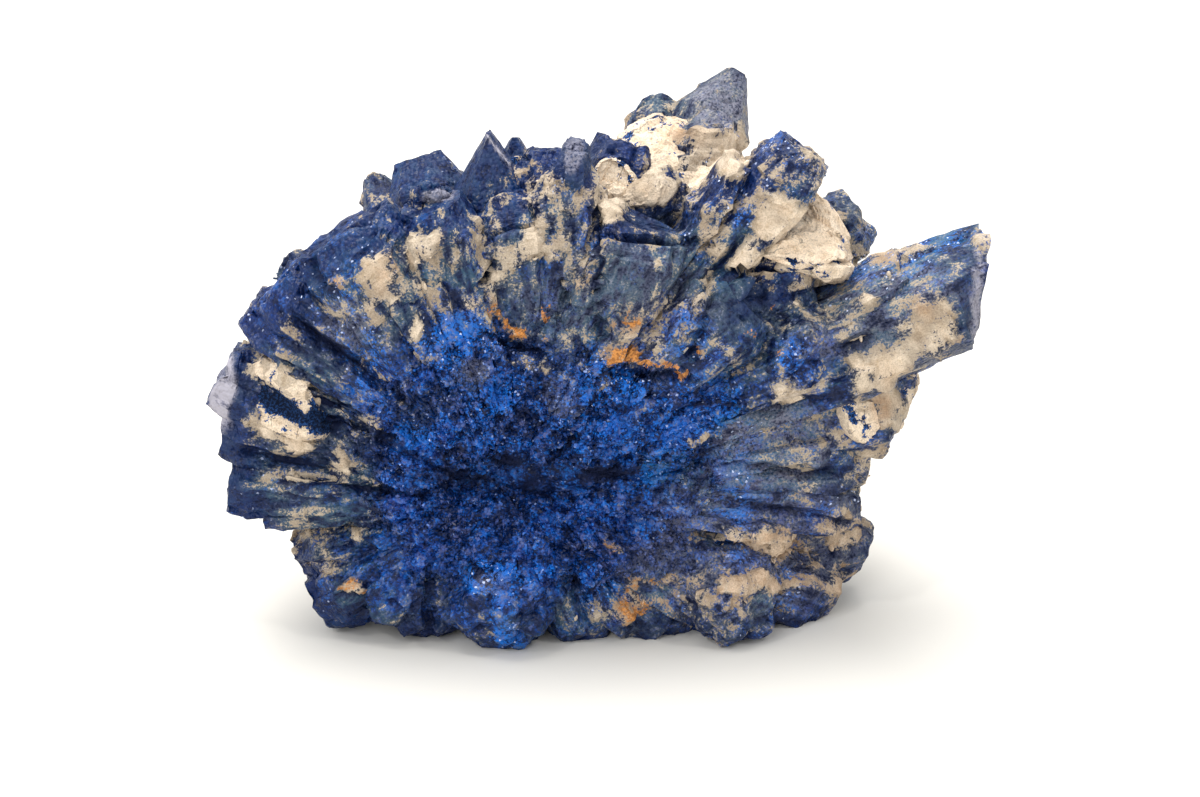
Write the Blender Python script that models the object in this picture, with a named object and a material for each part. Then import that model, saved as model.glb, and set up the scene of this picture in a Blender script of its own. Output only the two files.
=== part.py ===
"""Azurite specimen: bladed azurite crystals that fan out of one root, with clay wedged between them.

The crystals grew together, so they are one solid. Each lump of clay is a solid of its own.
Z is up, the root faces -Y, and the origin is under the middle of the specimen on its resting plane.
"""

import math
import random
from collections import namedtuple

import bmesh
import bpy
import numpy as np
from mathutils import Matrix, Vector, noise

MM = 0.001

# Driving dimensions, in millimetres.
ROOT = Vector((-4.5, -8.0, 10.0))  # where every crystal starts
ROOT_SHARE = 0.4  # section of a crystal at the root, as a share of its full section
SHOULDER_GROWTH = 0.85  # section halfway up, as a share of its full section
CLAY_GAP = 0.3  # clearance between the clay solids and the crystals
BASE_CUT = 0.0  # height of the flat on which the specimen rests
GROUND_BLOCK = (200.0, 200.0, 20.0)  # the block that cuts that flat
HEART_CENTRE = Vector((-1.0, -1.0, 13.5))  # the grown-together middle
HEART_RADII = Vector((14.5, 8.5, 10.0))
DOME_CENTRE = Vector((-0.5, -1.0, 13.5))  # the tips of the back crystals lie on this dome
DOME_RADII = Vector((20.5, 14.5, 15.5))
DISH_SPOKES = 40  # corners round the dish of small crystals that fills the fan between its ribs
DISH_SHARES = (0.14, 0.32, 0.5, 0.68, 0.84)  # its rings, as shares of the ribs' reach
DISH_DEPTHS = (2.0, 3.1, 3.0, 1.8, 0.2)  # how far each ring stands in front of the ribs' middle lines
DISH_BACK = 6.0  # how far the dish reaches back into the grown-together middle
DISH_BACK_SHARE = 0.6  # where it ends there, as a share of the ribs' reach
DISH_ROUGHNESS = 0.9  # how far its corners stand in and out
PIT_CENTRE = Vector((-4.2, -11.6, 10.3))  # the dark hollow where the ribs meet
PIT_RADII = Vector((5.6, 4.0, 2.0))
HEART_SWELL = 0.12  # how far each kind of rounded shape swells and shrinks, as a share of its radius
KNOB_SWELL = 0.14
CLAY_SWELL = 0.22
PIT_SWELL = 0.15

# Surface finishes: colour, roughness and metallic value.
AZURITE_FINISH = ("azurite", (0.015, 0.06, 0.26, 1.0), 0.6, 0.0)
CLAY_FINISH = ("clay", (0.60, 0.46, 0.31, 1.0), 0.95, 0.0)

# One crystal. bearing: degrees round the root as seen from the front, from +X. reach: distance of the
# tip from the root in that view. lean: how much further back the tip is than the root. across, deep:
# its section at the shoulder, round the fan and front to back. roll: turn about its own length.
# tip_across, tip_deep: share of the section that the end keeps. chisel: length of the sloped end.
# slant: how much further one edge of the end stands out than the other.
Crystal = namedtuple(
    "Crystal", "name bearing reach lean across deep roll tip_across tip_deep chisel slant"
)

FRONT_RIBS = [
    Crystal("left_foot", 203, 14.5, 3.0, 4.0, 6.5, 10, 0.6, 0.5, 2.0, 0.0),
    Crystal("left_1", 181, 17.2, 2.0, 4.4, 7.0, 8, 0.8, 0.85, 1.2, 0.5),
    Crystal("left_2", 171, 17.6, 2.6, 3.2, 6.6, 6, 0.8, 0.85, 1.2, 0.0),
    Crystal("left_3", 161, 18.9, 2.0, 4.4, 7.0, 5, 0.85, 0.85, 1.2, 0.6),
    Crystal("left_4", 147, 19.1, 2.0, 3.4, 7.5, 0, 0.7, 0.6, 1.6, 0.0),
    Crystal("left_5", 139, 19.0, 0.0, 4.6, 6.0, 0, 0.9, 0.5, 1.4, 0.0),
    Crystal("left_6", 122, 19.1, -1.0, 7.0, 7.0, 0, 0.9, 0.4, 1.6, 0.0),
    Crystal("crown_1", 106, 18.5, -1.0, 5.2, 6.5, 0, 0.75, 0.5, 1.6, 0.0),
    Crystal("crown_2", 91, 18.0, 0.0, 5.0, 6.0, 0, 0.6, 0.5, 1.8, 0.0),
    Crystal("crown_3", 81, 21.2, 0.0, 4.6, 6.5, 0, 0.3, 0.6, 3.6, 0.0),
    Crystal("crown_4", 66, 18.2, -1.0, 6.6, 6.5, 0, 0.85, 0.4, 1.6, 0.0),
    Crystal("crown_5", 50, 26.1, 2.0, 4.4, 7.0, 0, 0.85, 0.6, 1.6, 0.0),
    Crystal("right_0", 42, 17.8, -0.5, 6.6, 6.4, 0, 0.85, 0.5, 1.6, 0.0),
    Crystal("right_1", 23, 29.3, 3.0, 6.8, 8.6, 0, 0.9, 0.75, 1.6, 3.4),
    Crystal("right_2", 10, 23.2, 5.0, 6.4, 8.0, 0, 0.8, 0.6, 2.0, 3.0),
    Crystal("right_3", 1, 20.3, 4.0, 4.6, 7.0, 0, 0.8, 0.6, 2.0, 0.0),
    Crystal("right_4", 353, 20.2, 4.0, 4.4, 7.0, 0, 0.8, 0.6, 2.0, 0.0),
    Crystal("right_5", 343, 20.2, 7.0, 4.6, 6.0, 0, 0.8, 0.6, 2.0, 0.0),
    Crystal("right_6", 333, 20.6, 5.0, 5.0, 6.5, 0, 0.8, 0.6, 2.0, 0.0),
    Crystal("foot_1", 325, 17.7, 3.0, 5.0, 7.0, 0, 0.8, 0.6, 2.0, 0.0),
    Crystal("foot_2", 310, 14.1, 3.0, 5.0, 7.0, 0, 0.8, 0.6, 2.0, 0.0),
    Crystal("foot_3", 291, 11.2, 2.0, 5.0, 7.0, 0, 0.8, 0.6, 2.0, 0.0),
    Crystal("foot_4", 263, 10.8, 1.0, 5.0, 7.0, 0, 0.8, 0.6, 2.0, 0.0),
    Crystal("foot_5", 234, 11.7, 2.0, 5.0, 7.0, 0, 0.8, 0.6, 2.0, 0.0),
    Crystal("foot_6", 215, 14.8, 2.0, 4.6, 6.5, 0, 0.8, 0.6, 2.0, 0.0),
]

SECOND_ROW = [
    Crystal("dark_point", 95, 20.9, 3.0, 5.4, 5.0, 0, 0.05, 0.6, 3.8, 0.0),
    Crystal("dark_point_twin", 91, 19.6, 6.0, 4.4, 4.0, 0, 0.1, 0.6, 3.0, 0.0),
    Crystal("left_blue", 109, 19.1, 7.0, 4.8, 6.0, 0, 0.6, 0.4, 2.2, 0.0),
    Crystal("left_low_blue", 119, 18.5, 9.0, 3.6, 5.0, 0, 0.4, 0.4, 2.5, 0.0),
    Crystal("left_small", 144, 17.7, 10.0, 4.0, 5.0, 0, 0.6, 0.5, 2.0, 0.0),
    Crystal("grey_rough", 86, 19.8, 3.0, 3.4, 5.0, 0, 0.6, 0.5, 1.6, 0.0),
    Crystal("crown_rough", 72, 19.9, 7.0, 4.4, 5.0, 0, 0.8, 0.5, 1.6, 0.0),
    Crystal("top_back", 58, 24.3, 16.0, 5.0, 5.5, 0, 0.3, 0.5, 3.4, 0.0),
    Crystal("top_back_left", 64, 20.6, 16.0, 4.0, 5.0, 0, 0.8, 0.5, 1.6, 0.0),
    Crystal("top_back_mid", 58, 22.5, 12.0, 4.2, 5.0, 0, 0.5, 0.5, 2.0, 0.0),
    Crystal("saddle_back", 37, 22.8, 10.0, 4.4, 5.0, 0, 0.7, 0.5, 2.0, 0.0),
    Crystal("right_back", 31, 24.0, 13.0, 4.4, 5.0, 0, 0.8, 0.5, 1.6, 0.0),
]

# Rounded knobs of crystal: name, centre, radius, in millimetres.
KNOBS = [
    ("ball", (-5.9, -8.5, 3.2), 3.4),
    ("ball_left", (-11.5, -7.5, 3.0), 2.8),
    ("ball_right", (8.0, -7.5, 3.0), 3.0),
    ("right_low", (14.2, -1.5, 3.6), 2.8),
    ("right_lump", (11.8, -7.2, 18.4), 3.0),
]

# Each rib has smaller crystals grown parallel to it: turn from the rib in degrees, share of its reach,
# how much further forward they stand, and share of its section.
COMPANIONS = [(6.0, 0.9, 0.2, 0.5), (-5.5, 0.8, 0.8, 0.46)]
COMPANION_SEED = 3

BACK_CRYSTALS = 26
BACK_SEED = 7


def tip_of(crystal):
    """The middle of a crystal's end, in millimetres."""
    turn = math.radians(crystal.bearing)
    return ROOT + Vector(
        (crystal.reach * math.cos(turn), crystal.lean, crystal.reach * math.sin(turn))
    )


def crystal_frame(start, tip, roll):
    """Unit vectors along a crystal, across the fan and front to back, turned by roll about its length."""
    along = (tip - start).normalized()
    back = Vector((0, 1, 0))
    deep = (back - along * back.dot(along)).normalized()
    across = along.cross(deep)
    turn = Matrix.Rotation(math.radians(roll), 3, along)
    return along, turn @ across, turn @ deep


def section(across, deep, rng):
    """Eight corners of a tabular crystal's section, a little uneven, as pairs of distances."""
    corners = [(1, -0.4), (1, 0.4), (0.55, 1), (-0.55, 1)]
    corners += [(-a, -d) for a, d in corners]
    return [
        (a * across / 2 * rng.uniform(0.88, 1.05), d * deep / 2 * rng.uniform(0.88, 1.05))
        for a, d in corners
    ]


def crystal_mesh(crystal, start, tip, grow, rng):
    """A closed faceted crystal: rings of eight corners from start to chisel end, bridged and capped."""
    along, across, deep = crystal_frame(start, tip, crystal.roll)
    length = (tip - start).length
    corners = section(crystal.across, crystal.deep, rng)
    stations = [
        (-1.0, ROOT_SHARE, ROOT_SHARE),
        (0.5 * length, SHOULDER_GROWTH, SHOULDER_GROWTH),
        (length - crystal.chisel, 1.0, 1.0),
        (length, crystal.tip_across, crystal.tip_deep),
    ]
    shape = bmesh.new()
    rings = []
    for number, (distance, wide, thick) in enumerate(stations):
        end = number == len(stations) - 1
        ring = []
        for a, d in corners:
            lift = crystal.slant * a / crystal.across if end else 0.0
            place = start + along * (distance + lift + (grow if end else 0.0))
            a = a * wide + math.copysign(grow, a)
            d = d * thick + math.copysign(grow, d)
            ring.append(shape.verts.new((place + across * a + deep * d) * MM))
        rings.append(ring)
    shape.faces.new(rings[0])
    shape.faces.new(rings[-1])
    for lower, upper in zip(rings, rings[1:]):
        for n in range(len(lower)):
            m = (n + 1) % len(lower)
            shape.faces.new((lower[n], lower[m], upper[m], upper[n]))
    bmesh.ops.triangulate(shape, faces=shape.faces[:])
    bmesh.ops.recalc_face_normals(shape, faces=shape.faces[:])
    return shape


def uneven(unit, centre):
    """Uneven swell of a lump, from -1 to 1: three sine waves across it, shifted by where the lump lies."""
    start = centre.x + 2.0 * centre.y + 3.0 * centre.z
    return (
        0.5 * math.sin(2.1 * unit.x + 1.3 * unit.z + start)
        + 0.3 * math.sin(2.9 * unit.y - 1.7 * unit.x + 2.0 * start)
        + 0.2 * math.sin(4.3 * unit.z + 2.3 * unit.y + 3.0 * start)
    )


def ball_mesh(centre, radii, grow, swell_share, detail=2):
    """A faceted lump: an icosphere whose radii swell and shrink unevenly by swell_share."""
    shape = bmesh.new()
    bmesh.ops.create_icosphere(shape, subdivisions=detail, radius=1.0)
    for vertex in shape.verts:
        swell = 1.0 + swell_share * uneven(vertex.co, centre)
        reach = Vector(r * swell + grow for r in radii)
        vertex.co = (centre + vertex.co * reach) * MM
    return shape


def finish(name, colour, roughness, metallic):
    """A material of its own for one piece, with one Principled BSDF."""
    made = bpy.data.materials.new(name)
    made.use_nodes = True
    shader = made.node_tree.nodes["Principled BSDF"]
    shader.inputs["Base Color"].default_value = colour
    shader.inputs["Roughness"].default_value = roughness
    shader.inputs["Metallic"].default_value = metallic
    return made


def new_object(name, shape, hidden=False):
    """Puts a bmesh into a new object; a hidden one is a guide that only a Boolean uses."""
    mesh = bpy.data.meshes.new(name)
    shape.to_mesh(mesh)
    shape.free()
    made = bpy.data.objects.new(name, mesh)
    bpy.context.scene.collection.objects.link(made)
    if hidden:
        made.hide_render = True
        made.display_type = "WIRE"
    return made


def back_crystals():
    """Crystals on the hidden side, their tips spread evenly over the back half of the dome."""
    rng = random.Random(BACK_SEED)
    golden = math.pi * (3 - math.sqrt(5))
    made = []
    for n in range(BACK_CRYSTALS):
        back = 1 - (n + 0.5) / BACK_CRYSTALS
        rim = math.sqrt(1 - back * back)
        turn = n * golden
        tip = DOME_CENTRE + Vector(
            (
                DOME_RADII.x * rim * math.cos(turn),
                DOME_RADII.y * back,
                DOME_RADII.z * rim * math.sin(turn),
            )
        ) * rng.uniform(0.88, 1.0)
        offset = tip - ROOT
        made.append(
            Crystal(
                f"back_{n + 1}",
                math.degrees(math.atan2(offset.z, offset.x)),
                math.hypot(offset.x, offset.z),
                offset.y,
                rng.uniform(4.2, 6.4),
                rng.uniform(5.0, 7.5),
                rng.uniform(-40, 40),
                rng.uniform(0.2, 0.8),
                rng.uniform(0.3, 0.7),
                rng.uniform(1.8, 3.2),
                0.0,
            )
        )
    return made


# Clay wedged between the crystals: node, centre, radii and tilt about Y in degrees.
CLAY = [
    ("clay_saddle", (10.4, -5.4, 25.4), (5.6, 4.4, 2.8), 32),
    ("clay_gully", (1.3, -5.4, 25.2), (2.1, 4.2, 4.4), 0),
    ("clay_crown", (5.8, 3.0, 26.2), (4.4, 4.4, 3.3), 10),
    ("clay_point", (-4.8, -6.2, 26.4), (3.2, 4.0, 3.2), 0),
    ("clay_right", (16.4, -4.6, 15.0), (3.4, 3.8, 3.0), 20),
    ("clay_left", (-18.2, -7.2, 15.4), (3.8, 4.2, 2.4), 30),
    ("clay_foot", (8.2, -5.2, 4.2), (4.6, 4.4, 2.8), -20),
    ("clay_back_upper", (-6.0, 5.0, 21.4), (6.2, 4.2, 4.2), 0),
    ("clay_back_middle", (4.5, 8.0, 14.0), (5.6, 3.6, 4.4), 0),
    ("clay_back_lower", (-7.0, 6.8, 7.8), (5.6, 4.0, 3.6), 0),
]


def companions():
    """Smaller crystals parallel to each rib of the fan."""
    rng = random.Random(COMPANION_SEED)
    made = []
    for rib in FRONT_RIBS:
        for turn, share, forward, size in COMPANIONS:
            made.append(
                rib._replace(
                    name=f"{rib.name}_beside_{turn:+.0f}",
                    bearing=rib.bearing + turn * rng.uniform(0.7, 1.1),
                    reach=rib.reach * share * rng.uniform(0.92, 1.06),
                    lean=rib.lean * share - forward * rng.uniform(0.6, 1.2),
                    across=rib.across * size * rng.uniform(0.85, 1.2),
                    deep=rib.deep * 0.85,
                    slant=rng.uniform(-1.0, 1.0),
                )
            )
    return made


def rib_value(bearing, field):
    """A field of the ribs at any bearing, in a straight line between the two ribs on either side."""
    ribs = sorted(FRONT_RIBS, key=lambda rib: rib.bearing)
    places = [rib.bearing for rib in ribs]
    values = [getattr(rib, field) for rib in ribs]
    return float(np.interp(bearing % 360, places, values, period=360))


def dish_mesh(grow):
    """The rough dish: rings of corners that follow the ribs' reach and lean, closed at both ends."""
    shape = bmesh.new()
    rings = []
    shares, depths = DISH_SHARES + (DISH_BACK_SHARE,), DISH_DEPTHS + (-DISH_BACK,)
    for ring, (share, depth) in enumerate(zip(shares, depths)):
        corners = []
        for n in range(DISH_SPOKES):
            bearing = 360 * (n + 0.5 * (ring % 2)) / DISH_SPOKES
            turn = math.radians(bearing)
            reach = rib_value(bearing, "reach") * share
            back = rib_value(bearing, "lean") * share
            spot = ROOT + Vector((reach * math.cos(turn), back, reach * math.sin(turn)))
            bump = DISH_ROUGHNESS * noise.noise(spot * 0.8)
            spot.y -= depth + bump + math.copysign(grow, depth)
            spot += (spot - ROOT).normalized() * (2 * bump + grow)
            corners.append(shape.verts.new(spot * MM))
        rings.append(corners)
    for inner, outer in zip(rings, rings[1:]):
        for n in range(DISH_SPOKES):
            m = (n + 1) % DISH_SPOKES
            shape.faces.new((inner[n], inner[m], outer[m], outer[n]))
    shape.faces.new(rings[0])
    shape.faces.new(rings[-1])
    bmesh.ops.triangulate(shape, faces=shape.faces[:])
    bmesh.ops.recalc_face_normals(shape, faces=shape.faces[:])
    return shape


def azurite_guides(grow):
    """Every crystal, the dish and each knob as hidden guides in one collection, grown outwards by grow."""
    group = bpy.data.collections.new(f"azurite_guides_{grow}")
    for number, crystal in enumerate(FRONT_RIBS + SECOND_ROW + back_crystals() + companions()):
        shape = crystal_mesh(crystal, ROOT.copy(), tip_of(crystal), grow, random.Random(number))
        group.objects.link(new_object(f"guide_{crystal.name}_{grow}", shape, hidden=True))
    for name, centre, radius in KNOBS:
        shape = ball_mesh(Vector(centre), Vector((radius,) * 3), grow, KNOB_SWELL)
        group.objects.link(new_object(f"guide_{name}_{grow}", shape, hidden=True))
    group.objects.link(new_object(f"guide_dish_{grow}", dish_mesh(grow), hidden=True))
    return group


def join(target, group):
    """Adds a Boolean that joins every guide of a collection to the target. Every guide is one closed body, so
    the Manifold solver takes them all in seconds, where Exact takes minutes on a union of about 110 bodies."""
    step = target.modifiers.new("join", "BOOLEAN")
    step.operation = "UNION"
    step.operand_type = "COLLECTION"
    step.collection = group
    step.solver = "MANIFOLD"


def cut_by(target, cutter):
    """Adds a Boolean that takes one hidden guide out of the target."""
    step = target.modifiers.new(f"cut_{cutter.name}", "BOOLEAN")
    step.operation = "DIFFERENCE"
    step.object = cutter
    step.solver = "MANIFOLD"


def cutters():
    """The two hidden cutters: the ground below the resting plane, and the pit at the root."""
    floor = bmesh.new()
    bmesh.ops.create_cube(floor, size=1.0)
    bmesh.ops.scale(floor, vec=Vector(GROUND_BLOCK) * MM, verts=floor.verts)
    bmesh.ops.translate(floor, vec=(0, 0, (BASE_CUT - GROUND_BLOCK[2] / 2) * MM), verts=floor.verts)
    pit = ball_mesh(PIT_CENTRE, PIT_RADII, 0.0, PIT_SWELL)
    return new_object("ground_cutter", floor, hidden=True), new_object("pit_cutter", pit, hidden=True)


def keep_largest_shell(made):
    """Settles an object's modifiers and keeps only its largest closed shell."""
    graph = bpy.context.evaluated_depsgraph_get()
    shape = bmesh.new()
    shape.from_object(made, graph)
    left = set(shape.verts)
    shells = []
    while left:
        shell = {left.pop()}
        newest = set(shell)
        while newest:
            newest = {edge.other_vert(vert) for vert in newest for edge in vert.link_edges} - shell
            shell |= newest
        left -= shell
        shells.append(shell)
    keep = max(shells, key=len)
    bmesh.ops.delete(shape, geom=[v for v in shape.verts if v not in keep], context="VERTS")
    made.modifiers.clear()
    shape.to_mesh(made.data)
    shape.free()


def build_azurite(ground, pit):
    """The one solid of all the crystals, hollowed at the root, flat where it rests, sealed pockets filled."""
    heart = new_object("azurite_cluster", ball_mesh(HEART_CENTRE, HEART_RADII, 0.0, HEART_SWELL))
    heart.data.materials.append(finish(*AZURITE_FINISH))
    join(heart, azurite_guides(0.0))
    cut_by(heart, pit)
    cut_by(heart, ground)
    keep_largest_shell(heart)


def build_clay(ground):
    """One lump of clay for each place, cut back to a thin clearance from the crystals."""
    heart = ball_mesh(HEART_CENTRE, HEART_RADII, CLAY_GAP, HEART_SWELL)
    room = new_object("azurite_room", heart, hidden=True)
    join(room, azurite_guides(CLAY_GAP))
    for name, centre, radii, tilt in CLAY:
        shape = ball_mesh(Vector(centre), Vector(radii), 0.0, CLAY_SWELL)
        turn = Matrix.Rotation(math.radians(-tilt), 3, "Y")
        bmesh.ops.rotate(shape, cent=Vector(centre) * MM, matrix=turn, verts=shape.verts)
        lump = new_object(name, shape)
        lump.data.materials.append(finish(*CLAY_FINISH))
        cut_by(lump, room)
        cut_by(lump, ground)
        keep_largest_shell(lump)


for old in list(bpy.data.objects):
    bpy.data.objects.remove(old)
ground_cutter, pit_cutter = cutters()
build_azurite(ground_cutter, pit_cutter)
build_clay(ground_cutter)
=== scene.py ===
"""Looks of the azurite specimen: a fan of azurite blades with a drusy hollow front, and clay in its gaps.

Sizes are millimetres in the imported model's frame: Z is up, and the hollow front faces -Y. Each mesh is
written in metres.
"""

import itertools
import math
import random
from collections import namedtuple
from types import SimpleNamespace

import bpy
import numpy as np
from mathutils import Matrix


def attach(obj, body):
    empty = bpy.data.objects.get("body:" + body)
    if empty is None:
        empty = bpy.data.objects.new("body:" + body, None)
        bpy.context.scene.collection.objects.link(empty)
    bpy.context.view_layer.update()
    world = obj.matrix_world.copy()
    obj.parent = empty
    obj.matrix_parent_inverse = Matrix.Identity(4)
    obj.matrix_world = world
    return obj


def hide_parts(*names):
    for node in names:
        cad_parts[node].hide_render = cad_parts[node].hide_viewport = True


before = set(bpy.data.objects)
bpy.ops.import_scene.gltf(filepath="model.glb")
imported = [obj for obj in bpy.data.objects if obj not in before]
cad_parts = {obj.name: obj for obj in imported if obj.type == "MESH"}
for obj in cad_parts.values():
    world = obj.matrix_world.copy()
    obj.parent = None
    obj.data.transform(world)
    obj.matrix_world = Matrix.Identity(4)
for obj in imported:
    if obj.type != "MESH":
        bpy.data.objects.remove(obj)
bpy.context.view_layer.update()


# The view: a long lens close above the floor, looking a little down into the hollow front.
# It stands straight in front of the specimen and takes in the whole of it with white around.

CAMERA_LENS = 135.0
CAMERA_SENSOR = 36.0
CAMERA_DISTANCE = 270.0
CAMERA_ELEVATION = 20.0
CAMERA_CLIP_METRES = (0.01, 10.0)
CAMERA_TARGET = np.array((0.2, -5.0, 14.2))


def camera_axes():
    """Right, up and forward of the camera: forward is +Y dipped by the elevation, and up is square to it."""
    dip = math.radians(CAMERA_ELEVATION)
    right = np.array((1.0, 0.0, 0.0))
    forward = np.array((0.0, math.cos(dip), -math.sin(dip)))
    up = np.array((0.0, math.sin(dip), math.cos(dip)))
    return right, up, forward


def place_camera():
    """The camera looks along `forward` at the target, from the camera's distance."""
    _, _, forward = camera_axes()
    data = bpy.data.cameras.new("camera")
    data.lens = CAMERA_LENS
    data.sensor_width = CAMERA_SENSOR
    data.clip_start, data.clip_end = CAMERA_CLIP_METRES
    camera = bpy.data.objects.new("camera", data)
    camera.location = (CAMERA_TARGET - CAMERA_DISTANCE * forward) / 1000
    camera.rotation_euler = (math.radians(90 - CAMERA_ELEVATION), 0, 0)
    bpy.context.scene.collection.objects.link(camera)
    bpy.context.scene.camera = camera


place_camera()


# The fan: blades of azurite that start at one root and end on the rim. Each is a tabular crystal with
# eight long faces and a sloped end, and smaller blades grew parallel to it. They are one grown mass.

ROOT = np.array((-4.5, -8.0, 10.0))
ROOT_SHARE = 0.4
SHOULDER_GROWTH = 0.85
CAP_ROWS, CAP_POINT = 6, 0.06

Blade = namedtuple("Blade", "name bearing reach lean across deep roll tip_across tip_deep chisel slant")

FAN_BLADES = [
    Blade("left_foot", 203, 14.5, 3.0, 4.0, 6.5, 10, 0.6, 0.5, 2.0, 0.0),
    Blade("left_1", 181, 17.2, 2.0, 4.4, 7.0, 8, 0.8, 0.85, 1.2, 0.5),
    Blade("left_2", 171, 17.6, 2.6, 3.2, 6.6, 6, 0.8, 0.85, 1.2, 0.0),
    Blade("left_3", 161, 18.9, 2.0, 4.4, 7.0, 5, 0.85, 0.85, 1.2, 0.6),
    Blade("left_4", 147, 19.1, 2.0, 3.4, 7.5, 0, 0.7, 0.6, 1.6, 0.0),
    Blade("left_5", 139, 19.0, 0.0, 4.6, 6.0, 0, 0.9, 0.5, 1.4, 0.0),
    Blade("left_6", 122, 19.1, -1.0, 7.0, 7.0, 0, 0.9, 0.4, 1.6, 0.0),
    Blade("crown_1", 106, 18.5, -1.0, 5.2, 6.5, 0, 0.75, 0.5, 1.6, 0.0),
    Blade("crown_2", 91, 18.0, 0.0, 5.0, 6.0, 0, 0.6, 0.5, 1.8, 0.0),
    Blade("crown_3", 81, 21.2, 0.0, 4.6, 6.5, 0, 0.3, 0.6, 3.6, 0.0),
    Blade("crown_4", 66, 18.2, -1.0, 6.6, 6.5, 0, 0.85, 0.4, 1.6, 0.0),
    Blade("crown_5", 50, 26.1, 2.0, 4.4, 7.0, 0, 0.85, 0.6, 1.6, 0.0),
    Blade("right_0", 42, 17.8, -0.5, 6.6, 6.4, 0, 0.85, 0.5, 1.6, 0.0),
    Blade("right_1", 23, 29.3, 3.0, 6.8, 8.6, 0, 0.9, 0.75, 1.6, 3.4),
    Blade("right_2", 10, 23.2, 5.0, 6.4, 8.0, 0, 0.8, 0.6, 2.0, 3.0),
    Blade("right_3", 1, 20.3, 4.0, 4.6, 7.0, 0, 0.8, 0.6, 2.0, 0.0),
    Blade("right_4", 353, 20.2, 4.0, 4.4, 7.0, 0, 0.8, 0.6, 2.0, 0.0),
    Blade("right_5", 343, 20.2, 7.0, 4.6, 6.0, 0, 0.8, 0.6, 2.0, 0.0),
    Blade("right_6", 333, 20.6, 5.0, 5.0, 6.5, 0, 0.8, 0.6, 2.0, 0.0),
    Blade("foot_1", 325, 17.7, 3.0, 5.0, 7.0, 0, 0.8, 0.6, 2.0, 0.0),
    Blade("foot_2", 310, 14.1, 3.0, 5.0, 7.0, 0, 0.8, 0.6, 2.0, 0.0),
    Blade("foot_3", 291, 11.2, 2.0, 5.0, 7.0, 0, 0.8, 0.6, 2.0, 0.0),
    Blade("foot_4", 263, 10.8, 1.0, 5.0, 7.0, 0, 0.8, 0.6, 2.0, 0.0),
    Blade("foot_5", 234, 11.7, 2.0, 5.0, 7.0, 0, 0.8, 0.6, 2.0, 0.0),
    Blade("foot_6", 215, 14.8, 2.0, 4.6, 6.5, 0, 0.8, 0.6, 2.0, 0.0),
]

COMPANIONS = [(6.0, 0.9, 0.2, 0.5), (-5.5, 0.8, 0.8, 0.46)]
COMPANION_SEED = 3

REAR_ROW = [
    Blade("dark_point", 95, 20.9, 3.0, 5.4, 5.0, 0, 0.05, 0.6, 3.8, 0.0),
    Blade("dark_point_twin", 91, 19.6, 6.0, 4.4, 4.0, 0, 0.1, 0.6, 3.0, 0.0),
    Blade("left_blue", 109, 19.1, 7.0, 4.8, 6.0, 0, 0.6, 0.4, 2.2, 0.0),
    Blade("left_low_blue", 119, 18.5, 9.0, 3.6, 5.0, 0, 0.4, 0.4, 2.5, 0.0),
    Blade("left_small", 144, 17.7, 10.0, 4.0, 5.0, 0, 0.6, 0.5, 2.0, 0.0),
    Blade("grey_rough", 86, 19.8, 3.0, 3.4, 5.0, 0, 0.6, 0.5, 1.6, 0.0),
    Blade("crown_rough", 72, 19.9, 7.0, 4.4, 5.0, 0, 0.8, 0.5, 1.6, 0.0),
    Blade("top_back", 58, 24.3, 16.0, 5.0, 5.5, 0, 0.3, 0.5, 3.4, 0.0),
    Blade("top_back_left", 64, 20.6, 16.0, 4.0, 5.0, 0, 0.8, 0.5, 1.6, 0.0),
    Blade("top_back_mid", 58, 22.5, 12.0, 4.2, 5.0, 0, 0.5, 0.5, 2.0, 0.0),
    Blade("saddle_back", 37, 22.8, 10.0, 4.4, 5.0, 0, 0.7, 0.5, 2.0, 0.0),
    Blade("right_back", 31, 24.0, 13.0, 4.4, 5.0, 0, 0.8, 0.5, 1.6, 0.0),
]

BACK_BLADES = 26
BACK_SEED = 7
DOME_CENTRE = np.array((-0.5, -1.0, 13.5))
DOME_RADII = np.array((20.5, 14.5, 15.5))


def companion_blades():
    """Two smaller blades beside each blade of the fan, a few degrees round from it and a little shorter."""
    rng = random.Random(COMPANION_SEED)
    made = []
    for blade in FAN_BLADES:
        for turn, share, forward, size in COMPANIONS:
            made.append(
                blade._replace(
                    name=f"{blade.name}_beside_{turn:+.0f}",
                    bearing=blade.bearing + turn * rng.uniform(0.7, 1.1),
                    reach=blade.reach * share * rng.uniform(0.92, 1.06),
                    lean=blade.lean * share - forward * rng.uniform(0.6, 1.2),
                    across=blade.across * size * rng.uniform(0.85, 1.2),
                    deep=blade.deep * 0.85,
                    slant=rng.uniform(-1.0, 1.0),
                )
            )
    return made


def back_blades():
    """Blades of the hidden side: their tips lie on a dome, each turned from the last by the golden angle."""
    rng = random.Random(BACK_SEED)
    golden = math.pi * (3 - math.sqrt(5))
    made = []
    for n in range(BACK_BLADES):
        back = 1 - (n + 0.5) / BACK_BLADES
        rim = math.sqrt(1 - back * back)
        turn = n * golden
        way = np.array((rim * math.cos(turn), back, rim * math.sin(turn)))
        offset = DOME_CENTRE + DOME_RADII * way * rng.uniform(0.88, 1.0) - ROOT
        made.append(
            Blade(
                f"back_{n + 1}",
                math.degrees(math.atan2(offset[2], offset[0])),
                math.hypot(offset[0], offset[2]),
                offset[1],
                rng.uniform(4.2, 6.4),
                rng.uniform(5.0, 7.5),
                rng.uniform(-40, 40),
                rng.uniform(0.2, 0.8),
                rng.uniform(0.3, 0.7),
                rng.uniform(1.8, 3.2),
                0.0,
            )
        )
    return made


BLADES = FAN_BLADES + REAR_ROW + back_blades() + companion_blades()


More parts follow.
